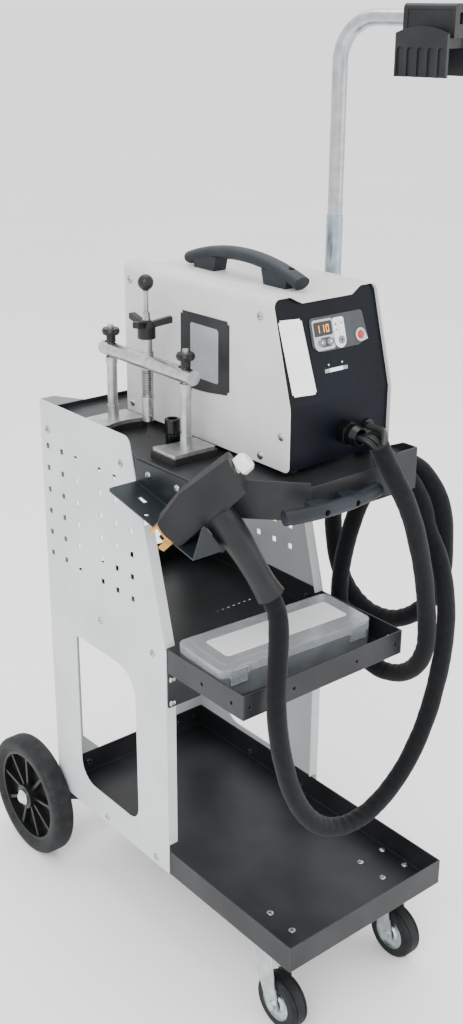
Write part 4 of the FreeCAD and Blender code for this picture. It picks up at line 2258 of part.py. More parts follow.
make_trolley()
gun_pieces()
make_welder()
make_handles()
make_cable_entries()
make_inside()
make_mast()
make_puller()
make_organiser()
make_hose()
nodes["fasteners"] = make_fasteners()
shift = export_all()
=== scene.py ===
"""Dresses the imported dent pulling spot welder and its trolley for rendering."""
import math

import bmesh
import bpy
from mathutils import Matrix, Vector, noise


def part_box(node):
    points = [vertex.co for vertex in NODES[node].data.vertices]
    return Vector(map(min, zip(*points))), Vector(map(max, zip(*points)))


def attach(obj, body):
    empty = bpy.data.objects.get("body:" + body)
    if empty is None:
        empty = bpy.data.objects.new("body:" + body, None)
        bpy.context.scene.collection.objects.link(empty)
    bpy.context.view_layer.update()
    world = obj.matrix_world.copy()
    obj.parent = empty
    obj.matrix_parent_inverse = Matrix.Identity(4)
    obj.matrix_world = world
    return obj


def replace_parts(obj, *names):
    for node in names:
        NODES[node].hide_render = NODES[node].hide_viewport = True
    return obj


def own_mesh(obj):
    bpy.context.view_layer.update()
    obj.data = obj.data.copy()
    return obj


bl_info = {
    "name": "Dent Pulling Spot Welder",
    "version": (1, 0, 0),
    "blender": (4, 5, 0),
    "location": "View3D > Sidebar > Spot Welder",
    "description": "Dresses the spot welder, its trolley, hose, puller and organiser",
    "category": "Add Mesh",
}

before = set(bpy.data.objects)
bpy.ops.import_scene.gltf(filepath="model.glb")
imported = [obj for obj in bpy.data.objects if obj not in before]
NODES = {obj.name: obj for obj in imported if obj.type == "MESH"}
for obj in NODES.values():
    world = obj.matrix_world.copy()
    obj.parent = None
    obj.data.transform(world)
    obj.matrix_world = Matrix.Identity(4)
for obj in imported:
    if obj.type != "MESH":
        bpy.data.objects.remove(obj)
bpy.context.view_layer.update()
MM = 0.001
ROW_SHIFT = -14.474


def here(x, y, z):
    """A place given in the trolley's own millimetres, in the frame's metres."""
    return Vector(((x + ROW_SHIFT) * MM, y * MM, z * MM))


def axes(origin, x_axis, z_axis):
    """The turn and place whose X and Z point along the given directions."""
    x_dir, z_dir = Vector(x_axis).normalized(), Vector(z_axis).normalized()
    turn = Matrix((x_dir, z_dir.cross(x_dir), z_dir)).transposed()
    return Matrix.Translation(origin) @ turn.to_4x4()


# Frames that the CAD gives: the keypad's corner, the organiser's corner and the gun's nose
KEYPAD = axes(here(6.0, -205.101, 915.855), (1, 0, 0), (0, -0.96425, 0.26499))
ORGANISER = axes(here(-138.5, -204, 473.5), (0.99844, -0.05582, 0), (0, 0, 1))
COVER_SIDE = axes(here(-50, 0, 0), (0, -1, 0), (-1, 0, 0))
GUN_AXIS = Vector((0.53666, -0.46981, 0.70091))
GUN_NOSE = here(-188.5, -156.4, 710)

# The hose's route in millimetres, the same points as the solid's
HOSE_POINTS = [
    (58.5, -275, 803.6), (70, -285, 771), (86, -291, 742), (103, -293.5, 709), (120, -293, 669),
    (138, -290, 622),
    (154, -286, 573), (165, -282.5, 526), (168, -281, 470), (168, -247.8, 425), (168, -194, 408.5),
    (168, -140.2, 426), (168, -107, 472), (169, -104, 530), (178, -106, 582), (195, -108, 631.5),
    (209, -116, 667.7), (215, -139, 700), (215, -170, 720), (215, -207, 721), (215, -240, 696),
    (215, -256, 663.7), (215, -260, 629.6), (214, -264, 592), (210, -259, 552), (204, -236, 512),
    (199, -198, 483), (197, -152, 474), (195.5, -108, 487), (195, -75, 524), (194, -62, 573), (193, -60, 623),
    (191, -69, 663.7), (189, -98, 699), (188, -146, 722), (188, -206, 719), (188, -241, 681.5),
    (187, -252, 648.6), (188, -273, 618.4), (192, -286, 577), (199, -289, 520), (199, -286, 458),
    (184, -285, 388), (155, -284.5, 325), (112, -285, 280), (60, -285.5, 255), (5, -285, 256),
    (-42, -285, 284), (-79, -285, 340), (-101, -285, 405), (-110, -281.5, 465), (-108, -276.5, 505),
    (-98.5, -267, 544), (-87, -257.5, 581.6), (-84.94, -247.06, 616.02), (-98.875, -234.861, 649.202)]
TAIL_POINTS = [
    [(45.3, -242, 810), (45.3, -256, 810), (49.2, -268, 807.5), (54, -275, 798.7)],
    [(54.7, -242, 810), (54.7, -254, 810), (59.5, -264.5, 810.5), (63.4, -271.3, 800.9)],
    [(91, -221, 810), (91, -238, 810), (83, -258, 813.5), (71, -273, 813), (61, -281.2, 803)]]

# Every screw by its outward way and the thickness it clamps, at the places of the solids' screws
SIDES = [(64, 150.5), (-63, 150.5), (1, 748), (184, 748), (-63, 489), (64, 489)]
COVER_SCREWS = [(107, 965), (107, 789), (-168, 965), (-211, 821), (-172, 786)]
SCREWS = [
    ((-1, 0, 0), 3.0, [(-146, y, z) for y, z in SIDES + [(-61.5, 749), (-123.5, 749)]]),
    ((1, 0, 0), 3.0, [(146, y, z) for y, z in SIDES]),
    ((0, -1, 0), 3.0, [(x, -95.5, z) for x in (-137, 137) for z in (459, 422)]),
    ((0, 1, 0), 3.0, [(x, 202.5, 160) for x in (-128, -92, 92, 128)]),
    ((1, 0, 0), 4.5, [(147.5, -99, 745), (147.5, -55, 745), (147.5, -196.5, 736.5), (147.5, -170.5, 736.5)]),
    ((0, 0, 1), 4.5, [(x, y, 139.5) for x in (-134.94, -89.06, 89.06, 134.94) for y in (-298.44, -252.56)]),
    ((-1, 0, 0), 3.3, [(-50, y, z) for y, z in COVER_SCREWS]),
    ((1, 0, 0), 3.3, [(128, y, z) for y, z in COVER_SCREWS])]


def hex_colour(name, description, default):
    """A property that holds a colour as hex digits."""
    return bpy.props.StringProperty(name=name, description=description, default=default)


def distance(name, description, millimetres):
    """A property that holds a length, given in millimetres."""
    return bpy.props.FloatProperty(name=name, description=description, default=millimetres * MM,
                                   subtype="DISTANCE", unit="LENGTH")


class TrolleySizes(bpy.types.PropertyGroup):
    """Sizes and colours of the trolley, its wheels and its screws."""
    panel_colour: hex_colour("Panel colour", "Powder coat of the side panels", "#C1C5C7")
    tray_colour: hex_colour("Tray colour", "Powder coat of the trays", "#28292B")
    screw_head: distance("Screw head", "Radius of a pan-head screw's head", 4.8)
    recess_width: distance("Screw recess", "Width of a screw's cross recess", 4.4)
    tyre_rib: distance("Tyre rib", "Height of the fine ribs round a rear tyre", 0.45)
    tyre_ribs: bpy.props.IntProperty(name="Tyre ribs", default=9, min=0,
                                     description="How many fine ribs run round a rear tyre")


class WelderSizes(bpy.types.PropertyGroup):
    """Sizes and colours of the welder, its panel and its labels."""
    cover_colour: hex_colour("Cover colour", "Powder coat of the cover", "#C2C2C1")
    front_colour: hex_colour("Front colour", "Paint of the front and chassis", "#05080E")
    label_thickness: distance("Label", "Thickness of the labels", 0.35)
    digit_height: distance("Digits", "Height of the display's digits", 9.5)


class HoseSizes(bpy.types.PropertyGroup):
    """Sizes and colour of the hose's woven sleeve."""
    radius: distance("Radius", "The sleeve's radius", 13)
    wrinkle: distance("Wrinkles", "Depth of the sleeve's soft wrinkles", 0.8)
    colour: hex_colour("Colour", "The sleeve's yarn where it is rubbed", "#181A1E")


def linear(colour):
    """A hex colour as the shader's linear red, green, blue and opaque alpha."""
    shares = [int(colour[i:i + 2], 16) / 255 for i in (1, 3, 5)]
    return [c / 12.92 if c <= 0.04045 else ((c + 0.055) / 1.055) ** 2.4 for c in shares] + [1.0]


def add(tree, kind, sockets=(), out=0, **settings):
    """One node with its settings, its inputs set or linked, and the output that is used next."""
    made = tree.nodes.new(kind)
    for name, value in settings.items():
        setattr(made, name, value)
    for name, value in dict(sockets).items():
        if isinstance(value, bpy.types.NodeSocket):
            tree.links.new(value, made.inputs[name])
        else:
            made.inputs[name].default_value = value
    return made.outputs[out]


def ramp(tree, value, low, high, dark, light):
    """A smooth blend between two colours as a value goes from low to high."""
    share = add(tree, "ShaderNodeMapRange", {"Value": value, "From Min": low, "From Max": high},
                interpolation_type="SMOOTHSTEP")
    return add(tree, "ShaderNodeMix", {0: share, 6: linear(dark), 7: linear(light)}, out=2, data_type="RGBA")


def start(name, roughness, metallic=0.0, **shine):
    """A material with its shader and its place on the object in metres."""
    material = bpy.data.materials.new(name)
    material.use_nodes = True
    tree = material.node_tree
    shader = tree.nodes["Principled BSDF"]
    for socket, value in {"Roughness": roughness, "Metallic": metallic, **shine}.items():
        shader.inputs[socket.replace("_", " ")].default_value = value
    return material, tree, shader.inputs, add(tree, "ShaderNodeTexCoord", out="Object")


def grain(tree, place, size_mm, detail=2.0, stretch=(1, 1, 1)):
    """A noise whose blobs have about a real size in millimetres."""
    across = add(tree, "ShaderNodeMapping", {"Vector": place, "Scale": stretch})
    return add(tree, "ShaderNodeTexNoise", {"Vector": across, "Scale": 1 / (size_mm * MM), "Detail": detail})


def relief(tree, height, depth_mm, edge_mm=0.6):
    """The surface's fine relief, on edges that look rounded by a small radius."""
    rounded = add(tree, "ShaderNodeBevel", {"Radius": edge_mm * MM}, samples=4)
    return add(tree, "ShaderNodeBump", {"Height": height, "Distance": depth_mm * MM, "Normal": rounded})


def edge_share(tree, edge_mm, low, high):
    """How near a point is to a sharp edge, from 0 on the flat to 1 at the edge."""
    rounded = add(tree, "ShaderNodeBevel", {"Radius": edge_mm * MM}, samples=4)
    plain = add(tree, "ShaderNodeNewGeometry", out="Normal")
    along = add(tree, "ShaderNodeVectorMath", {0: rounded, 1: plain}, out="Value", operation="DOT_PRODUCT")
    return add(tree, "ShaderNodeMapRange", {"Value": along, "From Min": high, "From Max": low})


def powder_coat(name, dark, light, edge, roughness, orange_peel_mm=1.6, gloss=0.3):
    """Baked powder coat on folded steel: a soft sheen, faint orange peel, and folds painted lighter, partly
    wear and partly a painted highlight.
    """
    material, tree, shader, place = start(name, roughness, Specular_IOR_Level=gloss)
    clouds = grain(tree, place, 90, 3.0)
    peel = grain(tree, place, orange_peel_mm)
    colour = ramp(tree, clouds, 0.3, 0.7, dark, light)
    # Folds and sharp edges take the lighter edge colour: partly edge wear, partly a painted highlight where
    # they catch the light.
    rubbed = edge_share(tree, 0.9, 0.80, 0.985)
    tree.links.new(add(tree, "ShaderNodeMix", {0: rubbed, 6: colour, 7: linear(edge)}, out=2,
                       data_type="RGBA"), shader["Base Color"])
    dusty = add(tree, "ShaderNodeMapRange", {"Value": grain(tree, place, 25, 4.0), "To Min": roughness - 0.05,
                                             "To Max": roughness + 0.07})
    tree.links.new(dusty, shader["Roughness"])
    tree.links.new(relief(tree, peel, 0.05, 0.9), shader["Normal"])
    return material


def moulded(name, dark, light, roughness, grain_mm=1.2, depth_mm=0.06, edge_mm=0.8, gloss=0.3, **shine):
    """Injection moulded plastic: an even body colour, a fine spark-eroded grain and softened edges."""
    material, tree, shader, place = start(name, roughness, Specular_IOR_Level=gloss, **shine)
    tree.links.new(ramp(tree, grain(tree, place, 40, 3.0), 0.3, 0.7, dark, light), shader["Base Color"])
    pits = add(tree, "ShaderNodeTexVoronoi", {"Vector": place, "Scale": 1 / (grain_mm * MM)})
    uneven = add(tree, "ShaderNodeMapRange", {"Value": grain(tree, place, 12, 3.0),
                                              "To Min": roughness - 0.06, "To Max": roughness + 0.06})
    tree.links.new(uneven, shader["Roughness"])
    tree.links.new(relief(tree, pits, depth_mm, edge_mm), shader["Normal"])
    return material


def metal(name, dark, light, roughness, grain_mm, depth_mm, stretch=(1, 1, 1), edge_mm=0.4):
    """Bare or plated metal: its own colour in the reflection, with tool or plating marks along one way."""
    material, tree, shader, place = start(name, roughness, 1.0)
    marks = grain(tree, place, grain_mm, 4.0, stretch)
    tree.links.new(ramp(tree, grain(tree, place, 14, 3.0), 0.3, 0.7, dark, light), shader["Base Color"])
    tree.links.new(add(tree, "ShaderNodeMapRange", {"Value": marks, "To Min": roughness - 0.1,
                                                    "To Max": roughness + 0.12}), shader["Roughness"])
    tree.links.new(relief(tree, marks, depth_mm, edge_mm), shader["Normal"])
    return material


def tyre_rubber(name, dark, light, roughness=0.62):
    """Solid tyre rubber: dull black with a bloom of grey dust in soft patches."""
    material, tree, shader, place = start(name, roughness, Specular_IOR_Level=0.25)
    dust = grain(tree, place, 18, 5.0)
    tree.links.new(ramp(tree, dust, 0.35, 0.7, dark, light), shader["Base Color"])
    tree.links.new(add(tree, "ShaderNodeMapRange", {"Value": dust, "To Min": roughness - 0.08,
                                                    "To Max": roughness + 0.1}), shader["Roughness"])
    tree.links.new(relief(tree, grain(tree, place, 1.5), 0.06), shader["Normal"])
    return material


def woven_sleeve(name, dark, light):
    """Woven textile sleeve: matt black yarn in a fine twill, brushed paler where it is rubbed.

    The threads are about 0.8 mm apart on the real one and are drawn at 1.6 mm so that they show."""
    material, tree, shader, _ = start(name, 0.85, Specular_IOR_Level=0.15, Sheen_Weight=0.09,
                                     Sheen_Roughness=0.5)
    run = add(tree, "ShaderNodeUVMap", out="UV", uv_map="Sleeve")
    waves = []
    for turn in (0.7, -0.7):
        turned = add(tree, "ShaderNodeMapping", {"Vector": run, "Rotation": (0, 0, turn)})
        waves.append(add(tree, "ShaderNodeTexWave", {"Vector": turned, "Scale": 0.314 / (1.6 * MM),
                                                     "Distortion": 0.6, "Detail": 1.0}, out="Fac"))
    cloth = add(tree, "ShaderNodeMath", {0: waves[0], 1: waves[1]}, operation="MULTIPLY")
    patches = add(tree, "ShaderNodeTexNoise", {"Vector": run, "Scale": 1 / (9 * MM), "Detail": 6.0,
                                               "Roughness": 0.7})
    worn = add(tree, "ShaderNodeMath", {0: cloth, 1: 0.5, 2: patches}, operation="MULTIPLY_ADD")
    tree.links.new(ramp(tree, worn, 0.4, 1.05, dark, light), shader["Base Color"])
    tree.links.new(add(tree, "ShaderNodeBump", {"Height": worn, "Distance": 0.4 * MM, "Strength": 0.8}),
                   shader["Normal"])
    return material


def cable_rubber(name, dark, light):
    """Extruded rubber sheath: smooth and half glossy, with a faint fine grain."""
    return moulded(name, dark, light, 0.38, 1.0, 0.03)


def frosted_plastic(name, tint, light, roughness, clear):
    """Frosted polypropylene: light passes, but shapes behind it blur into a milky grey."""
    material, tree, shader, place = start(name, roughness, Transmission_Weight=clear, IOR=1.49)
    tree.links.new(ramp(tree, grain(tree, place, 30, 3.0), 0.3, 0.7, tint, light), shader["Base Color"])
    tree.links.new(relief(tree, grain(tree, place, 1.0), 0.04, 0.8), shader["Normal"])
    return material


def glowing(name, colour, strength):
    """A lit segment behind the display's window: a warm glow, a little paler in small spots."""
    material, tree, shader, place = start(name, 0.4, Emission_Strength=strength)
    tree.links.new(ramp(tree, grain(tree, place, 2.0), 0.2, 0.8, colour, "#FFC46A"), shader["Emission Color"])
    shader["Base Color"].default_value = linear(colour)
    return material


def make_materials(trolley, welder, hose):
    """Every finish on the object, by its name."""
    return {
        # Each powder coat's third colour goes on its folds and edges: partly wear, partly a painted
        # highlight.
        "panel": powder_coat("Light grey powder coat on the panels", trolley.panel_colour, "#CBCED0",
                             "#DEE1E1",
                             0.42),
        "tray": powder_coat("Satin dark powder coat on the trays", "#18191B", trolley.tray_colour, "#5A5C5E",
                            0.38),
        "slate": powder_coat("Slate powder coat on the gun holder", "#12171B", "#1B2226", "#4A545C", 0.34),
        "cover": powder_coat("Warm grey powder coat on the cover", welder.cover_colour, "#CECECD", "#E4E4E3",
                             0.4),
        "front": powder_coat("Navy powder coat on the front", welder.front_colour, "#080E19", "#182131", 0.36,
                             gloss=0.12),
        "zinc": metal("Zinc plated steel", "#A9B3B4", "#C3CCCA", 0.34, 0.8, 0.02),
        "tube": metal("Zinc plated mast tube", "#93A1AB", "#A9B6BE", 0.30, 1.4, 0.02, (1, 1, 0.04)),
        "upper_tube": metal("Bright plated mast tube", "#A0A4A9", "#B3B7BB", 0.28, 1.4, 0.02, (1, 1, 0.04)),
        "turned": metal("Turned bright steel", "#A8A9AA", "#C0C1C2", 0.32, 0.7, 0.03, (1, 0.05, 1)),
        "spindle": metal("Turned spindle steel", "#9C9C9C", "#B8B8B8", 0.3, 0.7, 0.04, (0.05, 0.05, 1)),
        "cast": metal("Cast and brushed aluminium", "#A5A6A7", "#BDBEBF", 0.42, 1.2, 0.08),
        "spring": metal("Spring steel wire", "#77777A", "#98989A", 0.32, 0.6, 0.02),
        # The screws' metal is darker than the plain zinc: a painted shade standing for the shadow round their
        # heads.
        "screw": metal("Blue passivated zinc screw darkened as painted shade", "#8E9E9B", "#B2BFBC", 0.26, 0.8, 0.02),
        "electrode": metal("Oxidised copper electrode", "#3A2A22", "#5A4335", 0.42, 0.8, 0.03),
        "chrome": metal("Chrome plated cap", "#C5C8CA", "#DADCDD", 0.12, 3.0, 0.01),
        "brass": metal("Turned brass", "#B98746", "#D2A45E", 0.28, 0.8, 0.03),
        "charcoal": moulded("Charcoal moulded nylon", "#101113", "#1A1B1D", 0.42, 1.1, 0.06),
        "black": moulded("Black moulded nylon", "#0C0D0E", "#141516", 0.45),
        "gloss_black": moulded("Glossy black polyamide", "#060708", "#0B0C0E", 0.22, 1.5, 0.02, gloss=0.35),
        "handle": moulded("Blue grey moulded handle", "#151A20", "#1F262D", 0.48, 1.3, 0.07),
        "knob": moulded("Phenolic knob", "#171413", "#221E1D", 0.36),
        "rubber": moulded("Moulded black rubber", "#0F0F0F", "#1A1A1A", 0.6, 1.4, 0.08),
        "saddle": moulded("Dark grey moulded saddle", "#131518", "#1D2023", 0.4, 1.6, 0.05),
        "tyre": tyre_rubber("Solid rear tyre rubber", "#151618", "#252729"),
        "castor_tyre": tyre_rubber("Solid castor rubber", "#101113", "#1D1F21"),
        "white": moulded("Glossy white cap", "#DDDEDF", "#ECEDEE", 0.25, 2.0, 0.02),
        "keypad": moulded("Mid grey membrane", "#34373B", "#3D4145", 0.45, 0.9, 0.02, 0.2),
        "bezel": moulded("Light grey printed membrane", "#A9ADB0", "#B6BABC", 0.4, 0.9, 0.02, 0.3),
        "strip": moulded("White printed membrane", "#DADCDE", "#E6E8E9", 0.4, 0.9, 0.02, 0.3),
        "key": moulded("Soft grey key", "#6A7076", "#777D83", 0.5, 0.9, 0.03, 0.3),
        "red": moulded("Translucent red button", "#A8140F", "#C8281C", 0.25, 2.0, 0.02, 0.6, Coat_Weight=0.5),
        "label": moulded("Plain white label", "#F0F2F3", "#F8F9F9", 0.42, 0.8, 0.01, 0.2),
        "plate": moulded("Plain charcoal plate", "#1C1E21", "#242629", 0.45, 0.8, 0.02, 0.2),
        "ink": moulded("Grey printing ink", "#8A8F94", "#9AA0A5", 0.5, 0.8, 0.01, 0.2),
        "glass": moulded("Smoked display window", "#050403", "#0B0906", 0.08, 3.0, 0.0, 0.2, Coat_Weight=0.3),
        "digit": glowing("Amber display segments", "#FF9A1E", 1.5),
        "sleeve": woven_sleeve("Woven black sleeve", "#050608", hose.colour),
        "sheath": cable_rubber("Black cable sheath", "#08090A", "#101112"),
        "grey_sheath": cable_rubber("Grey cable sheath", "#2C2D2A", "#393A36"),
        "frosted_lid": frosted_plastic("Frosted lid", "#E2E7EC", "#F1F4F7", 0.16, 0.72),
        "frosted_base": frosted_plastic("Frosted base", "#868B90", "#949A9F", 0.26, 0.5),
        # The latches' frosted plastic is painted a little lighter than the lid's, as a painted highlight on
        # their bright edges.
        "frosted_latch_painted_lighter": frosted_plastic("Frosted latch painted lighter as highlight", "#E6ECF2", "#F3F6F9", 0.1, 0.82),
        "can": metal("Sleeved capacitor can", "#4A5566", "#5A6678", 0.4, 1.0, 0.02),
        "board": moulded("Green circuit board", "#123B22", "#1A4A2C", 0.4, 1.0, 0.02),
    }


NODE_FINISH = {
    "panel": ("left_side_panel", "right_side_panel"),
    "tray": ("bottom_tray", "middle_tray", "top_tray"),
    "slate": ("gun_holder", "hose_hook"),
    "cover": ("welder_cover",),
    "front": ("welder_chassis",),
    "zinc": ("undercarriage", "rear_axle", "castor_fork_left", "castor_fork_right"),
    "tube": ("mast_lower_tube",),
    "upper_tube": ("mast_upper_tube",),
    "saddle": ("cable_saddle",),
    "tyre": ("rear_tyre_left", "rear_tyre_right"),
    "castor_tyre": ("castor_wheel_left", "castor_wheel_right"),
    "black": ("rear_hub_left", "rear_hub_right", "switch_housing", "switch_rocker", "fan_frame", "fan_rotor"),
    "gloss_black": ("cable_glands", "spare_cup"),
    "handle": ("welder_handle", "front_handle"),
    "charcoal": ("gun_left_shell", "gun_right_shell", "gun_trigger"),
    "white": ("gun_rear_cap",),
    "brass": ("gun_contacts",),
    "rubber": ("welder_feet",),
    "keypad": ("control_panel",),
    "glass": ("display_window",),
    "key": ("left_key", "right_key", "select_button"),
    "red": ("red_button",),
    "can": ("capacitor_bank",),
    "board": ("electronics",),
    "turned": ("puller_crossbar",),
    "cast": ("puller_leg_front", "puller_leg_rear"),
    "knob": ("clamp_knob_front", "clamp_knob_rear", "wing_nut"),
    "spindle": ("puller_spindle",),
    "frosted_base": ("organiser_base",),
    "frosted_lid": ("organiser_lid",),
    "frosted_latch_painted_lighter": ("left_latch", "right_latch"),
}
FINISH = {}


def piece(name, source, finish, body, angle=40):
    """An object of the mesh that rides on a body, smooth but for its sharp edges."""
    if isinstance(source, bmesh.types.BMesh):
        mesh = bpy.data.meshes.new(name)
        source.to_mesh(mesh)
        source.free()
    else:
        mesh = source
    mesh.name = name
    mesh.materials.clear()
    mesh.materials.append(FINISH[finish])
    mesh.shade_smooth()
    mesh.set_sharp_from_angle(angle=math.radians(angle))
    made = bpy.data.objects.new(name, mesh)
    bpy.context.scene.collection.objects.link(made)
    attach(made, body)
    return made


def plate(points, low, high, place, rounding=0.0, segments=3):
    """A flat piece with an outline in millimetres in a frame's XY, from low to high along its Z."""
    made = bmesh.new()
    ends = [made.verts.new((x * MM, y * MM, low * MM)) for x, y in points]
    face = made.faces.new(ends)
    if rounding:
        bmesh.ops.bevel(made, geom=list(made.verts), offset=rounding * MM, segments=segments,
                        affect="VERTICES",
                        clamp_overlap=True)
        made.faces.ensure_lookup_table()
        face = made.faces[0]
    made.normal_update()
    risen = bmesh.ops.extrude_face_region(made, geom=[face])
    moved = [v for v in risen["geom"] if isinstance(v, bmesh.types.BMVert)]
    bmesh.ops.translate(made, verts=moved, vec=(0, 0, (high - low) * MM))
    bmesh.ops.recalc_face_normals(made, faces=made.faces)
    bmesh.ops.transform(made, matrix=place, verts=made.verts)
    return made


def rectangle(x0, x1, y0, y1):
    """A rectangle's corners."""
    return [(x0, y0), (x1, y0), (x1, y1), (x0, y1)]


def circle(x, y, radius, count=24):
    """Points round a circle."""
    return [(x + radius * math.cos(math.tau * k / count), y + radius * math.sin(math.tau * k / count))
            for k in range(count)]


def joined(parts):
    """Several bmeshes as one."""
    whole = bmesh.new()
    for part in parts:
        mesh = bpy.data.meshes.new("part")
        part.to_mesh(mesh)
        part.free()
        whole.from_mesh(mesh)
        bpy.data.meshes.remove(mesh)
    return whole


def centre_line(points):
    """The smooth line of a cord's route, read from its NURBS spline."""
    curve = bpy.data.curves.new("route", "CURVE")
    curve.dimensions = "3D"
    spline = curve.splines.new("NURBS")
    spline.points.add(len(points) - 1)
    for control, place in zip(spline.points, points):
        control.co = (*here(*place), 1)
    spline.order_u = 3
    spline.use_endpoint_u = True
    spline.resolution_u = 12
    route = bpy.data.objects.new("route", curve)
    bpy.context.scene.collection.objects.link(route)
    line = bpy.data.meshes.new_from_object(route.evaluated_get(bpy.context.evaluated_depsgraph_get()))
    places = [v.co.copy() for v in line.vertices]
    bpy.data.objects.remove(route)
    bpy.data.meshes.remove(line)
    return places


def evenly(places, step):
    """Places along a line at even steps, with its length."""
    spans = [(b - a).length for a, b in zip(places, places[1:])]
    total = sum(spans)
    count = max(2, round(total / step))
    made, at, i = [], 0.0, 0
    for k in range(count + 1):
        want = total * k / count
        while i < len(spans) - 1 and at + spans[i] < want:
            at += spans[i]
            i += 1
        made.append(places[i].lerp(places[i + 1], min(1, max(0, (want - at) / spans[i]))))
    return made, total


def join_sockets(tree, kind, sockets, name, **settings):
    """A node whose one input takes several links, and its output."""
    made = add(tree, kind, **settings).node
    for socket in sockets:
        tree.links.new(socket, made.inputs[name])
    return made.outputs[0]


def node_group(name, sizes):
    """A Geometry Nodes group with named inputs, and the sockets that carry them."""
    tree = bpy.data.node_groups.new(name, "GeometryNodeTree")
    tree.interface.new_socket("Geometry", in_out="INPUT", socket_type="NodeSocketGeometry")
    for label, kind in sizes.items():
        tree.interface.new_socket(label, in_out="INPUT", socket_type="NodeSocket" + kind)
    tree.interface.new_socket("Geometry", in_out="OUTPUT", socket_type="NodeSocketGeometry")
    return tree, tree.nodes.new("NodeGroupInput").outputs


def end_group(tree, shape, finish):
    """Ends a group: what repeats becomes real mesh and gets its finish."""
    real = add(tree, "GeometryNodeRealizeInstances", {"Geometry": shape})
    done = add(tree, "GeometryNodeSetMaterial", {"Geometry": real, "Material": finish})
    tree.links.new(done, tree.nodes.new("NodeGroupOutput").inputs[0])
    return tree


def grown(tree, start_mesh, values):
    """The plain mesh that a group makes from a start mesh, with its inputs set by identifier."""
    carrier = bpy.data.objects.new("carrier", start_mesh)
    bpy.context.scene.collection.objects.link(carrier)
    modifier = carrier.modifiers.new("Nodes", "NODES")
    modifier.node_group = tree
    for socket in tree.interface.items_tree:
        if socket.in_out == "INPUT" and socket.name in values:
            modifier[socket.identifier] = values[socket.name]
    graph = bpy.context.evaluated_depsgraph_get()
    made = bpy.data.meshes.new_from_object(carrier.evaluated_get(graph))
    bpy.data.objects.remove(carrier)
    return made


def screw_group():
    """Pan-head screws with a cross recess, their shanks and their nuts, on points that carry an axis."""
    tree, given = node_group("Pan head screws", {
        "Head radius": "Float", "Head height": "Float", "Recess width": "Float", "Recess slot": "Float",
        "Shank radius": "Float", "Nut radius": "Float", "Nut height": "Float", "Seed": "Int",
        "Finish": "Material"})
    axis = add(tree, "GeometryNodeInputNamedAttribute", {"Name": "axis"}, data_type="FLOAT_VECTOR")
    stack = add(tree, "GeometryNodeInputNamedAttribute", {"Name": "stack"}, data_type="FLOAT")
    turn = add(tree, "FunctionNodeAlignRotationToVector", {"Vector": axis}, axis="Z")
    angle = add(tree, "FunctionNodeRandomValue", {3: math.tau, "Seed": given["Seed"]}, out=1)
    spin = add(tree, "FunctionNodeAxisAngleToRotation", {"Axis": (0, 0, 1), "Angle": angle})
    turned = add(tree, "FunctionNodeRotateRotation", {"Rotation": turn, "Rotate By": spin},
                 rotation_space="LOCAL")
    ball = add(tree, "GeometryNodeMeshUVSphere", {"Segments": 32, "Rings": 16, "Radius": 1.0})
    wide = add(tree, "ShaderNodeMath", {0: given["Head radius"], 1: 1.15}, operation="MULTIPLY")
    flat = add(tree, "ShaderNodeCombineXYZ", {0: wide, 1: wide, 2: given["Head height"]})
    dome = add(tree, "GeometryNodeTransform", {"Geometry": ball, "Scale": flat})
    drum = add(tree, "GeometryNodeMeshCylinder", {"Vertices": 32, "Radius": given["Head radius"],
                                                  "Depth": 1.0})
    half = add(tree, "ShaderNodeCombineXYZ", {2: 0.5})
    raised = add(tree, "GeometryNodeTransform", {"Geometry": drum, "Translation": half})
    head = join_sockets(tree, "GeometryNodeMeshBoolean", (dome, raised), "Mesh 2", operation="INTERSECT")
    bar_size = add(tree, "ShaderNodeCombineXYZ", {0: given["Recess width"], 1: given["Recess slot"],
                                                  2: given["Head height"]})
    bar = add(tree, "GeometryNodeMeshCube", {"Size": bar_size})
    above = add(tree, "ShaderNodeCombineXYZ", {2: given["Head height"]})
    cutter = add(tree, "GeometryNodeTransform", {"Geometry": bar, "Translation": above})
    crossed = add(tree, "GeometryNodeTransform", {"Geometry": cutter, "Rotation": (0, 0, math.pi / 2)})
    recessed = add(tree, "GeometryNodeMeshBoolean", {"Mesh 1": head}, operation="DIFFERENCE")
    for cut in (cutter, crossed):
        tree.links.new(cut, recessed.node.inputs["Mesh 2"])
    heads = add(tree, "GeometryNodeInstanceOnPoints", {"Points": given["Geometry"], "Instance": recessed,
                                                       "Rotation": turned})
    length = add(tree, "ShaderNodeMath", {0: stack, 1: given["Nut height"]}, operation="ADD")
    stem = add(tree, "GeometryNodeMeshCylinder", {"Vertices": 16, "Radius": given["Shank radius"],
                                                  "Depth": 1.0})
    below = add(tree, "ShaderNodeCombineXYZ", {2: -0.5})
    hung = add(tree, "GeometryNodeTransform", {"Geometry": stem, "Translation": below})
    stretch = add(tree, "ShaderNodeCombineXYZ", {0: 1.0, 1: 1.0, 2: length})
    shanks = add(tree, "GeometryNodeInstanceOnPoints", {"Points": given["Geometry"], "Instance": hung,
                                                        "Rotation": turned, "Scale": stretch})
    nut = add(tree, "GeometryNodeMeshCylinder", {"Vertices": 6, "Radius": given["Nut radius"],
                                                 "Depth": given["Nut height"]})
    depth = add(tree, "ShaderNodeMath", {0: given["Nut height"], 1: -0.5}, operation="MULTIPLY")
    back = add(tree, "ShaderNodeMath", {0: depth, 1: stack}, operation="SUBTRACT")
    inward = add(tree, "ShaderNodeVectorMath", {0: axis, 3: back}, operation="SCALE")
    seats = add(tree, "GeometryNodeSetPosition", {"Geometry": given["Geometry"], "Offset": inward})
    nuts = add(tree, "GeometryNodeInstanceOnPoints", {"Points": seats, "Instance": nut, "Rotation": turned})
    every = join_sockets(tree, "GeometryNodeJoinGeometry", (heads, shanks, nuts), "Geometry")
    return end_group(tree, every, given["Finish"])


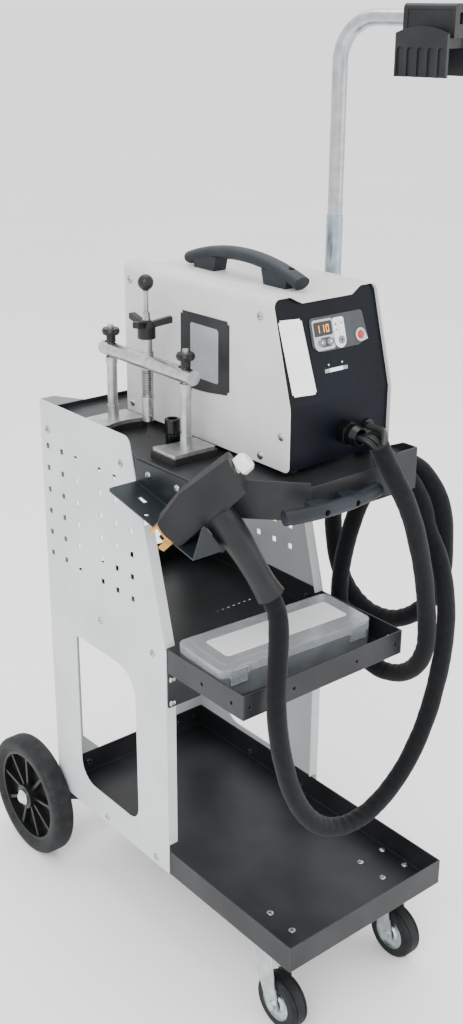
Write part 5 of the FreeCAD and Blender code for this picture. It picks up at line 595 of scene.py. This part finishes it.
def rib_group():
    """Fine ribs side by side round a tyre's tread."""
    tree, given = node_group("Tyre ribs", {"Start": "Vector", "Step": "Vector", "Count": "Int",
                                           "Tread radius": "Float", "Rib radius": "Float",
                                           "Finish": "Material"})
    places = add(tree, "GeometryNodeMeshLine", {"Count": given["Count"], "Start Location": given["Start"],
                                                "Offset": given["Step"]})
    ring = add(tree, "GeometryNodeCurvePrimitiveCircle", {"Resolution": 128, "Radius": given["Tread radius"]})
    wire = add(tree, "GeometryNodeCurvePrimitiveCircle", {"Resolution": 8, "Radius": given["Rib radius"]})
    rib = add(tree, "GeometryNodeCurveToMesh", {"Curve": ring, "Profile Curve": wire})
    upright = add(tree, "GeometryNodeTransform", {"Geometry": rib, "Rotation": (0, math.pi / 2, 0)})
    ribs = add(tree, "GeometryNodeInstanceOnPoints", {"Points": places, "Instance": upright})
    return end_group(tree, ribs, given["Finish"])


def second_finish(name, finish, belongs):
    """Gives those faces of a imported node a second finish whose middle, in millimetres, belongs."""
    mesh = NODES[name].data
    mesh.materials.append(FINISH[finish])
    slot = len(mesh.materials) - 1
    for face in mesh.polygons:
        middle = face.center / MM
        if belongs(middle.x - ROW_SHIFT, middle.y, middle.z):
            face.material_index = slot


def sweep(line, step, sides, radius_at):
    """A closed tube round a line, with a map of real lengths round and along it."""
    made = bmesh.new()
    layer = made.loops.layers.uv.new("Sleeve")
    rings = []
    side = Vector((0, 0, 1))
    for k, place in enumerate(line):
        ahead = (line[min(k + 1, len(line) - 1)] - line[max(k - 1, 0)]).normalized()
        side = (side - ahead * side.dot(ahead)).normalized()
        up = ahead.cross(side)
        ring = []
        for s in range(sides):
            angle = math.tau * s / sides
            out = side * math.cos(angle) + up * math.sin(angle)
            ring.append(made.verts.new(place + out * radius_at(k * step, angle, out, k)))
        rings.append(ring)
    girth = math.tau * radius_at(0, 0, Vector((0, 0, 1)), 0)
    for k in range(len(rings) - 1):
        for s in range(sides):
            t = (s + 1) % sides
            face = made.faces.new((rings[k][s], rings[k][t], rings[k + 1][t], rings[k + 1][s]))
            for loop, (round_share, along) in zip(face.loops,
                                                  ((s, k), (s + 1, k), (s + 1, k + 1), (s, k + 1))):
                loop[layer].uv = (girth * round_share / sides, along * step)
    for ring in (rings[0], rings[-1]):
        made.faces.new(ring)
    bmesh.ops.recalc_face_normals(made, faces=made.faces)
    return made


class SPOT_OT_stage(bpy.types.Operator):
    """Puts up the pale floor, the soft studio light and the camera"""
    bl_idname = "spot_welder.stage"
    bl_label = "Stage"

    def execute(self, context):
        scene = context.scene
        floor = bpy.data.meshes.new("studio_floor")
        reach = 300
        floor.from_pydata([(-reach, -reach, 0), (reach, -reach, 0), (reach, reach, 0), (-reach, reach, 0)],
                          [],
                          [(0, 1, 2, 3)])
        ground = bpy.data.objects.new("studio_floor", floor)
        scene.collection.objects.link(ground)
        material, tree, shader, place = start("Pale studio floor", 0.9)
        tree.links.new(ramp(tree, grain(tree, place, 900, 2.0), 0.2, 0.8, "#FAFAFA", "#FEFEFE"),
                       shader["Base Color"])
        floor.materials.append(material)
        world = bpy.data.worlds.new("Soft studio")
        scene.world = world
        world.use_nodes = True
        world.node_tree.nodes["Background"].inputs["Color"].default_value = (1, 1, 1, 1)
        world.node_tree.nodes["Background"].inputs["Strength"].default_value = 1.7
        middle = Vector((0, 0, 0.6))
        for name, spot, size, power in (("Key", (-2.2, -1.6, 2.6), 1.8, 70),
                                        ("Fill", (1.8, -2.6, 1.6), 2.2, 22),
                                        ("Top", (0.3, 0.6, 3.2), 2.0, 40)):
            light = bpy.data.lights.new(name, "AREA")
            light.size = size
            light.energy = power
            lamp = bpy.data.objects.new(name, light)
            scene.collection.objects.link(lamp)
            lamp.location = spot
            lamp.rotation_mode = "QUATERNION"
            lamp.rotation_quaternion = (middle - Vector(spot)).to_track_quat("-Z", "Y")
        # The camera solved from the photograph's parallel edges
        azimuth, elevation, roll = (math.radians(a) for a in (-40.1698, 21.8007, 0.5716))
        back = Vector((math.sin(azimuth) * math.cos(elevation), -math.cos(azimuth) * math.cos(elevation),
                       math.sin(elevation)))
        right = (-back).cross(Vector((0, 0, 1))).normalized()
        up = right.cross(-back)
        level_right = right * math.cos(roll) + up * math.sin(roll)
        level_up = up * math.cos(roll) - right * math.sin(roll)
        view = bpy.data.cameras.new("Photo camera")
        view.sensor_width = 36
        view.lens = 36 * 1252.767 / 1024
        view.shift_x = (231.5 - 245.035) / 1024
        view.shift_y = (505.611 - 512) / 1024
        view.clip_start = 0.05
        camera = bpy.data.objects.new("Photo camera", view)
        scene.collection.objects.link(camera)
        turn = Matrix((level_right, level_up, back)).transposed().to_4x4()
        camera.matrix_world = Matrix.Translation(here(-1031.452, -1305.835, 1317.074)) @ turn
        scene.camera = camera
        return {"FINISHED"}


class SPOT_OT_hose(bpy.types.Operator):
    """Makes the hose's woven sleeve with its soft wrinkles, and the three short cables at its start"""
    bl_idname = "spot_welder.hose"
    bl_label = "Hose"

    def execute(self, context):
        sizes = context.scene.spot_hose
        line, length = evenly(centre_line(HOSE_POINTS), 4 * MM)
        step = length / (len(line) - 1)
        bends = [Vector((0, 0, 0))]
        for a, b, c in zip(line, line[1:], line[2:]):
            bends.append((a + c - 2 * b) / step ** 2)
        bends.append(Vector((0, 0, 0)))

        def radius_at(along, angle, out, k):
            soft = noise.noise(Vector((math.cos(angle) * 0.7, math.sin(angle) * 0.7, along * 34)))
            fine = noise.noise(Vector((math.cos(angle) * 1.6, math.sin(angle) * 1.6, along * 110 + 7)))
            inner = max(0.0, out.dot(bends[k])) / 12
            fold = math.sin(along * math.tau / 0.017 + 2 * soft) * min(1.0, inner)
            return sizes.radius + sizes.wrinkle * (0.9 * soft + 0.35 * fine + 0.8 * fold)

        sleeve = piece("hose_sleeve", sweep(line, step, 28, radius_at), "sleeve", "root", 60)
        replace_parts(sleeve, "hose")
        tails = []
        for k, points in enumerate(TAIL_POINTS):
            tail_line, total = evenly(centre_line(points), 1.5 * MM)
            tube = sweep(tail_line, total / (len(tail_line) - 1), 20, lambda along, angle, out, i: 4.5 * MM)
            finish = "grey_sheath" if k == 2 else "sheath"
            tails.append(piece("cable_tail_" + str(k + 1), tube, finish, "root", 60))
            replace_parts(tails[-1], "cable_tails")
        return {"FINISHED"}


class SPOT_OT_screws(bpy.types.Operator):
    """Grows every pan-head screw with its cross recess, shank and nut"""
    bl_idname = "spot_welder.screws"
    bl_label = "Screws"

    def execute(self, context):
        sizes = context.scene.spot_trolley
        spots = [(here(*place), way, stack * MM) for way, stack, places in SCREWS for place in places]
        points = bpy.data.meshes.new("screw_points")
        points.from_pydata([place for place, _, _ in spots], [], [])
        points.attributes.new("axis", "FLOAT_VECTOR", "POINT")
        points.attributes.new("stack", "FLOAT", "POINT")
        ways, stacks = (points.attributes[name].data for name in ("axis", "stack"))
        for k, (_, way, stack) in enumerate(spots):
            ways[k].vector = way
            stacks[k].value = stack
        screws = grown(screw_group(), points, {
            "Head radius": sizes.screw_head, "Head height": 2.6 * MM, "Recess width": sizes.recess_width,
            "Recess slot": 1.0 * MM, "Shank radius": 2.5 * MM, "Nut radius": 4.4 * MM, "Nut height": 3.2 * MM,
            "Seed": 4, "Finish": FINISH["screw"]})
        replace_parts(piece("screws", screws, "screw", "root", 30), "fasteners")
        return {"FINISHED"}


class SPOT_OT_wheels(bpy.types.Operator):
    """Grows the rear tyres' fine ribs and tells rubber, zinc and chrome apart on wheels and axle"""
    bl_idname = "spot_welder.wheels"
    bl_label = "Wheels"

    def execute(self, context):
        sizes = context.scene.spot_trolley
        group = rib_group()
        pitch = 2 * MM
        for side, sign in (("left", -1), ("right", 1)):
            middle = here(sign * 166, 255.5, 100)
            first = middle - Vector(((sizes.tyre_ribs - 1) / 2 * pitch, 0, 0))
            ribs = grown(group, bpy.data.meshes.new("empty"), {
                "Start": first, "Step": (pitch, 0, 0), "Count": sizes.tyre_ribs,
                "Tread radius": 100 * MM - sizes.tyre_rib / 2, "Rib radius": sizes.tyre_rib,
                "Finish": FINISH["tyre"]})
            piece(side + "_tyre_ribs", ribs, "tyre", side + "_rear_wheel", 60)
            second_finish("castor_wheel_" + side, "zinc", lambda x, y,
                          z: math.hypot(y + 307.5, z - 40) < 25.05)
        second_finish("rear_axle", "chrome", lambda x, y, z: abs(x) > 184.02)
        return {"FINISHED"}


class SPOT_OT_puller(bpy.types.Operator):
    """Winds the puller's return spring and tells its rubber, knob and electrode faces apart"""
    bl_idname = "spot_welder.puller"
    bl_label = "Puller"

    def execute(self, context):
        low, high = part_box("puller_spring")
        wire, turns, steps = 0.7 * MM, 11, 28
        middle = (low + high) / 2
        radius = 7.2 * MM
        rise = high.z - low.z - 2 * wire
        line = []
        for k in range(turns * steps + 1):
            angle = math.tau * k / steps
            line.append(Vector((middle.x + radius * math.cos(angle), middle.y + radius * math.sin(angle),
                                low.z + wire + rise * k / (turns * steps))))
        step = (line[1] - line[0]).length
        coil = piece("return_spring", sweep(line, step, 10, lambda along, angle, out, k: wire), "spring",
                     "root",
                     60)
        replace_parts(coil, "puller_spring")
        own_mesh(coil)
        second_finish("puller_spindle", "knob", lambda x, y, z: z > 973.1)
        for name in ("puller_leg_front", "puller_leg_rear"):
            second_finish(name, "rubber", lambda x, y, z: z < 777.02)

        def gun_place(x, y, z):
            out = here(x, y, z) - GUN_NOSE
            along = out.dot(GUN_AXIS)
            return along / MM, (out - GUN_AXIS * along).length / MM

        second_finish("gun_contacts", "electrode", lambda x, y, z: gun_place(x, y, z)[1] < 6.05)
        second_finish("gun_contacts", "white", lambda x, y, z: 6.05 < gun_place(x, y, z)[1] < 11.47
                      and gun_place(x, y, z)[0] > 5.5)
        return {"FINISHED"}


class SPOT_OT_keypad(bpy.types.Operator):
    """Lays the keypad's printed areas, key marks, lamp and lit digits, and the plain scale below it"""
    bl_idname = "spot_welder.keypad"
    bl_label = "Keypad"

    def execute(self, context):
        sizes = context.scene.spot_welder
        high = sizes.digit_height / MM
        # Heights over the panel in millimetres, from the membrane to the marks on the keys
        skin, bezel, printed, ink, glass, lamp, digit, key, key_ink = (
            1.2, 1.42, 1.45, 1.55, 1.6, 1.62, 1.72, 2.6, 2.72)

        def lay(name, finish, body, slot, *flats):
            parts = [plate(points, low, top, KEYPAD, rounding) for points, low, top, rounding in flats]
            return piece(name, joined(parts), finish, body)

        lay("display_bezel", "bezel", "root", "membrane",
            ([(7, 1.8), (37.6, 1.8), (37.6, 40.2), (3.6, 40.2), (3.6, 8)], skin, bezel, 1.5))
        lay("display_cover", "glass", "root", "display_glass",
            (rectangle(5.3, 36.3, 19.6, 37.4), bezel, glass, 1.0))
        lay("key_surround", "keypad", "root", "membrane", (rectangle(9.5, 37, 5.5, 17.5), bezel, ink, 5.9))
        strip = [(57.5, 37), (55.2, 39.3), (40.6, 39.3), (38.3, 37)]
        strip += [(47.9 - 9.6 * math.cos(math.radians(a)), 10.4 - 9.6 * math.sin(math.radians(a)))
                  for a in range(0, 181, 12)]
        lay("function_strip", "strip", "root", "membrane", (strip, skin, printed, 0))
        marks = [rectangle(47.6, 48.0, 17.5, 37), [(41.2, 30), (44.8, 30), (43, 33.2)],
                 rectangle(52.6, 53.4, 29.6, 31.6), [(52.6, 31.2), (53.2, 31.8), (51.5, 33.5), (50.9, 32.9)],
                 [(52.8, 31.8), (53.4, 31.2), (55.1, 32.9), (54.5, 33.5)], circle(43.5, 24, 1.0)]
        lay("strip_marks", "black", "root", "membrane", *[(mark, printed, ink, 0) for mark in marks])
        lay("function_lamp", "digit", "root", "display_glass", (circle(53, 24.5, 1.2), printed, lamp, 0))
        lay("lamp_surround", "bezel", "root", "membrane",
            ([(83 + 8.8 * math.cos(math.radians(a)), 12.2 + 8.8 * math.sin(math.radians(a)))
              for a in range(15, 286, 15)] + [(94.5, 5.5)], 2.0, 2.3, 0))
        for body, x, way in (("key_left", 15.8, -1), ("key_right", 30.6, 1)):
            arrow = [(x + 1.9 * way, 11.5), (x - 1.1 * way, 13.3), (x - 1.1 * way, 9.7)]
            lay(body + "_mark", "label", body, "key_plastic", (arrow[::-way], key, key_ink, 0))
        lay("select_mark", "black", "select", "key_plastic", (circle(49.5, 10.5, 1.3), key, key_ink, 0))
        lens = bmesh.new()
        bmesh.ops.create_uvsphere(lens, u_segments=32, v_segments=16, radius=1,
                                  matrix=KEYPAD @ Matrix.Translation((83 * MM, 12.2 * MM, 2.4 * MM))
                                  @ Matrix.Diagonal((5.3 * MM, 5.3 * MM, 2.2 * MM, 1)))
        piece("red_lens", lens, "red", "red")
        bar = 1.25
        half = high / 2
        places = {"a": (0, high - bar, 5.2, high), "d": (0, 0, 5.2, bar), "b": (5.2 - bar, half, 5.2, high),
                  "c": (5.2 - bar, 0, 5.2, half), "e": (0, 0, bar, half), "f": (0, half, bar, high)}
        lit = []
        for k, segments in enumerate(("bc", "bc", "abcdef")):
            x, y = 9.6 + 8 * k, 23.6
            for letter in segments:
                x0, y0, x1, y1 = places[letter]
                lit.append((rectangle(x + x0 + 0.12, x + x1 - 0.12, y + y0 + 0.12, y + y1 - 0.12), glass,
                            digit, 0))
        lay("digits", "digit", "root", "display_glass", *lit)
        lay("scale_ends", "ink", "root", "membrane", (rectangle(15, 23, -26.6, -21.9), 0, 0.3, 0),
            (rectangle(46, 54, -26.6, -21.9), 0, 0.3, 0))
        lay("scale_middle", "label", "root", "membrane", (rectangle(23, 46, -26.6, -21.9), 0, 0.3, 0),
            *[([(x - 1.3, -16.2), (x, -18.6), (x + 1.3, -16.2)], 0, 0.3, 0) for x in (22.4, 45.8)])
        return {"FINISHED"}


class SPOT_OT_labels(bpy.types.Operator):
    """Lays the bare labels on the front, the cover's side and the organiser's lid"""
    bl_idname = "spot_welder.labels"
    bl_label = "Labels"

    def execute(self, context):
        thick = context.scene.spot_welder.label_thickness / MM
        front = plate([(-48.6, 48.1), (-43.8, -46.7), (-4.2, -49.5), (-11.3, 45.6)], 0, thick, KEYPAD, 2.5, 6)
        piece("front_label", front, "label", "root")
        side = plate([(9, 944.5), (109.5, 946), (110, 850), (60, 843.5), (8, 842)], 0, 3 * thick, COVER_SIDE,
                     4,
                     8)
        piece("side_plate", side, "plate", "root")
        blank = plate(rectangle(30, 88, 860, 932), 3 * thick, 3.4 * thick, COVER_SIDE, 2)
        piece("side_plate_blank", blank, "ink", "root")
        lid = plate(rectangle(30, 240, 28, 80), 45.3, 45.3 + thick, ORGANISER, 3)
        piece("organiser_label", lid, "label", "lid")
        return {"FINISHED"}


class SPOT_OT_finishes(bpy.types.Operator):
    """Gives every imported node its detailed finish"""
    bl_idname = "spot_welder.finishes"
    bl_label = "Finishes"

    def execute(self, context):
        scene = context.scene
        FINISH.update(make_materials(scene.spot_trolley, scene.spot_welder, scene.spot_hose))
        for finish, names in NODE_FINISH.items():
            for name in names:
                mesh = NODES[name].data
                mesh.materials.clear()
                mesh.materials.append(FINISH[finish])
        return {"FINISHED"}


OPERATORS = (SPOT_OT_finishes, SPOT_OT_stage, SPOT_OT_hose, SPOT_OT_screws, SPOT_OT_wheels, SPOT_OT_puller,
             SPOT_OT_keypad, SPOT_OT_labels)


class SPOT_PT_panel(bpy.types.Panel):
    """Lists the steps that dress the spot welder"""
    bl_label = "Spot Welder"
    bl_idname = "SPOT_PT_panel"
    bl_space_type = "VIEW_3D"
    bl_region_type = "UI"
    bl_category = "Spot Welder"

    def draw(self, context):
        for operator in OPERATORS:
            self.layout.operator(operator.bl_idname)


CLASSES = (TrolleySizes, WelderSizes, HoseSizes, *OPERATORS, SPOT_PT_panel)


def register():
    for made in CLASSES:
        bpy.utils.register_class(made)
    bpy.types.Scene.spot_trolley = bpy.props.PointerProperty(type=TrolleySizes)
    bpy.types.Scene.spot_welder = bpy.props.PointerProperty(type=WelderSizes)
    bpy.types.Scene.spot_hose = bpy.props.PointerProperty(type=HoseSizes)


def unregister():
    for name in ("spot_trolley", "spot_welder", "spot_hose"):
        delattr(bpy.types.Scene, name)
    for made in reversed(CLASSES):
        bpy.utils.unregister_class(made)


def main():
    """Runs every step in order."""
    register()
    for operator in OPERATORS:
        group, name = operator.bl_idname.split(".")
        getattr(getattr(bpy.ops, group), name)()


if __name__ == "__main__":
    main()
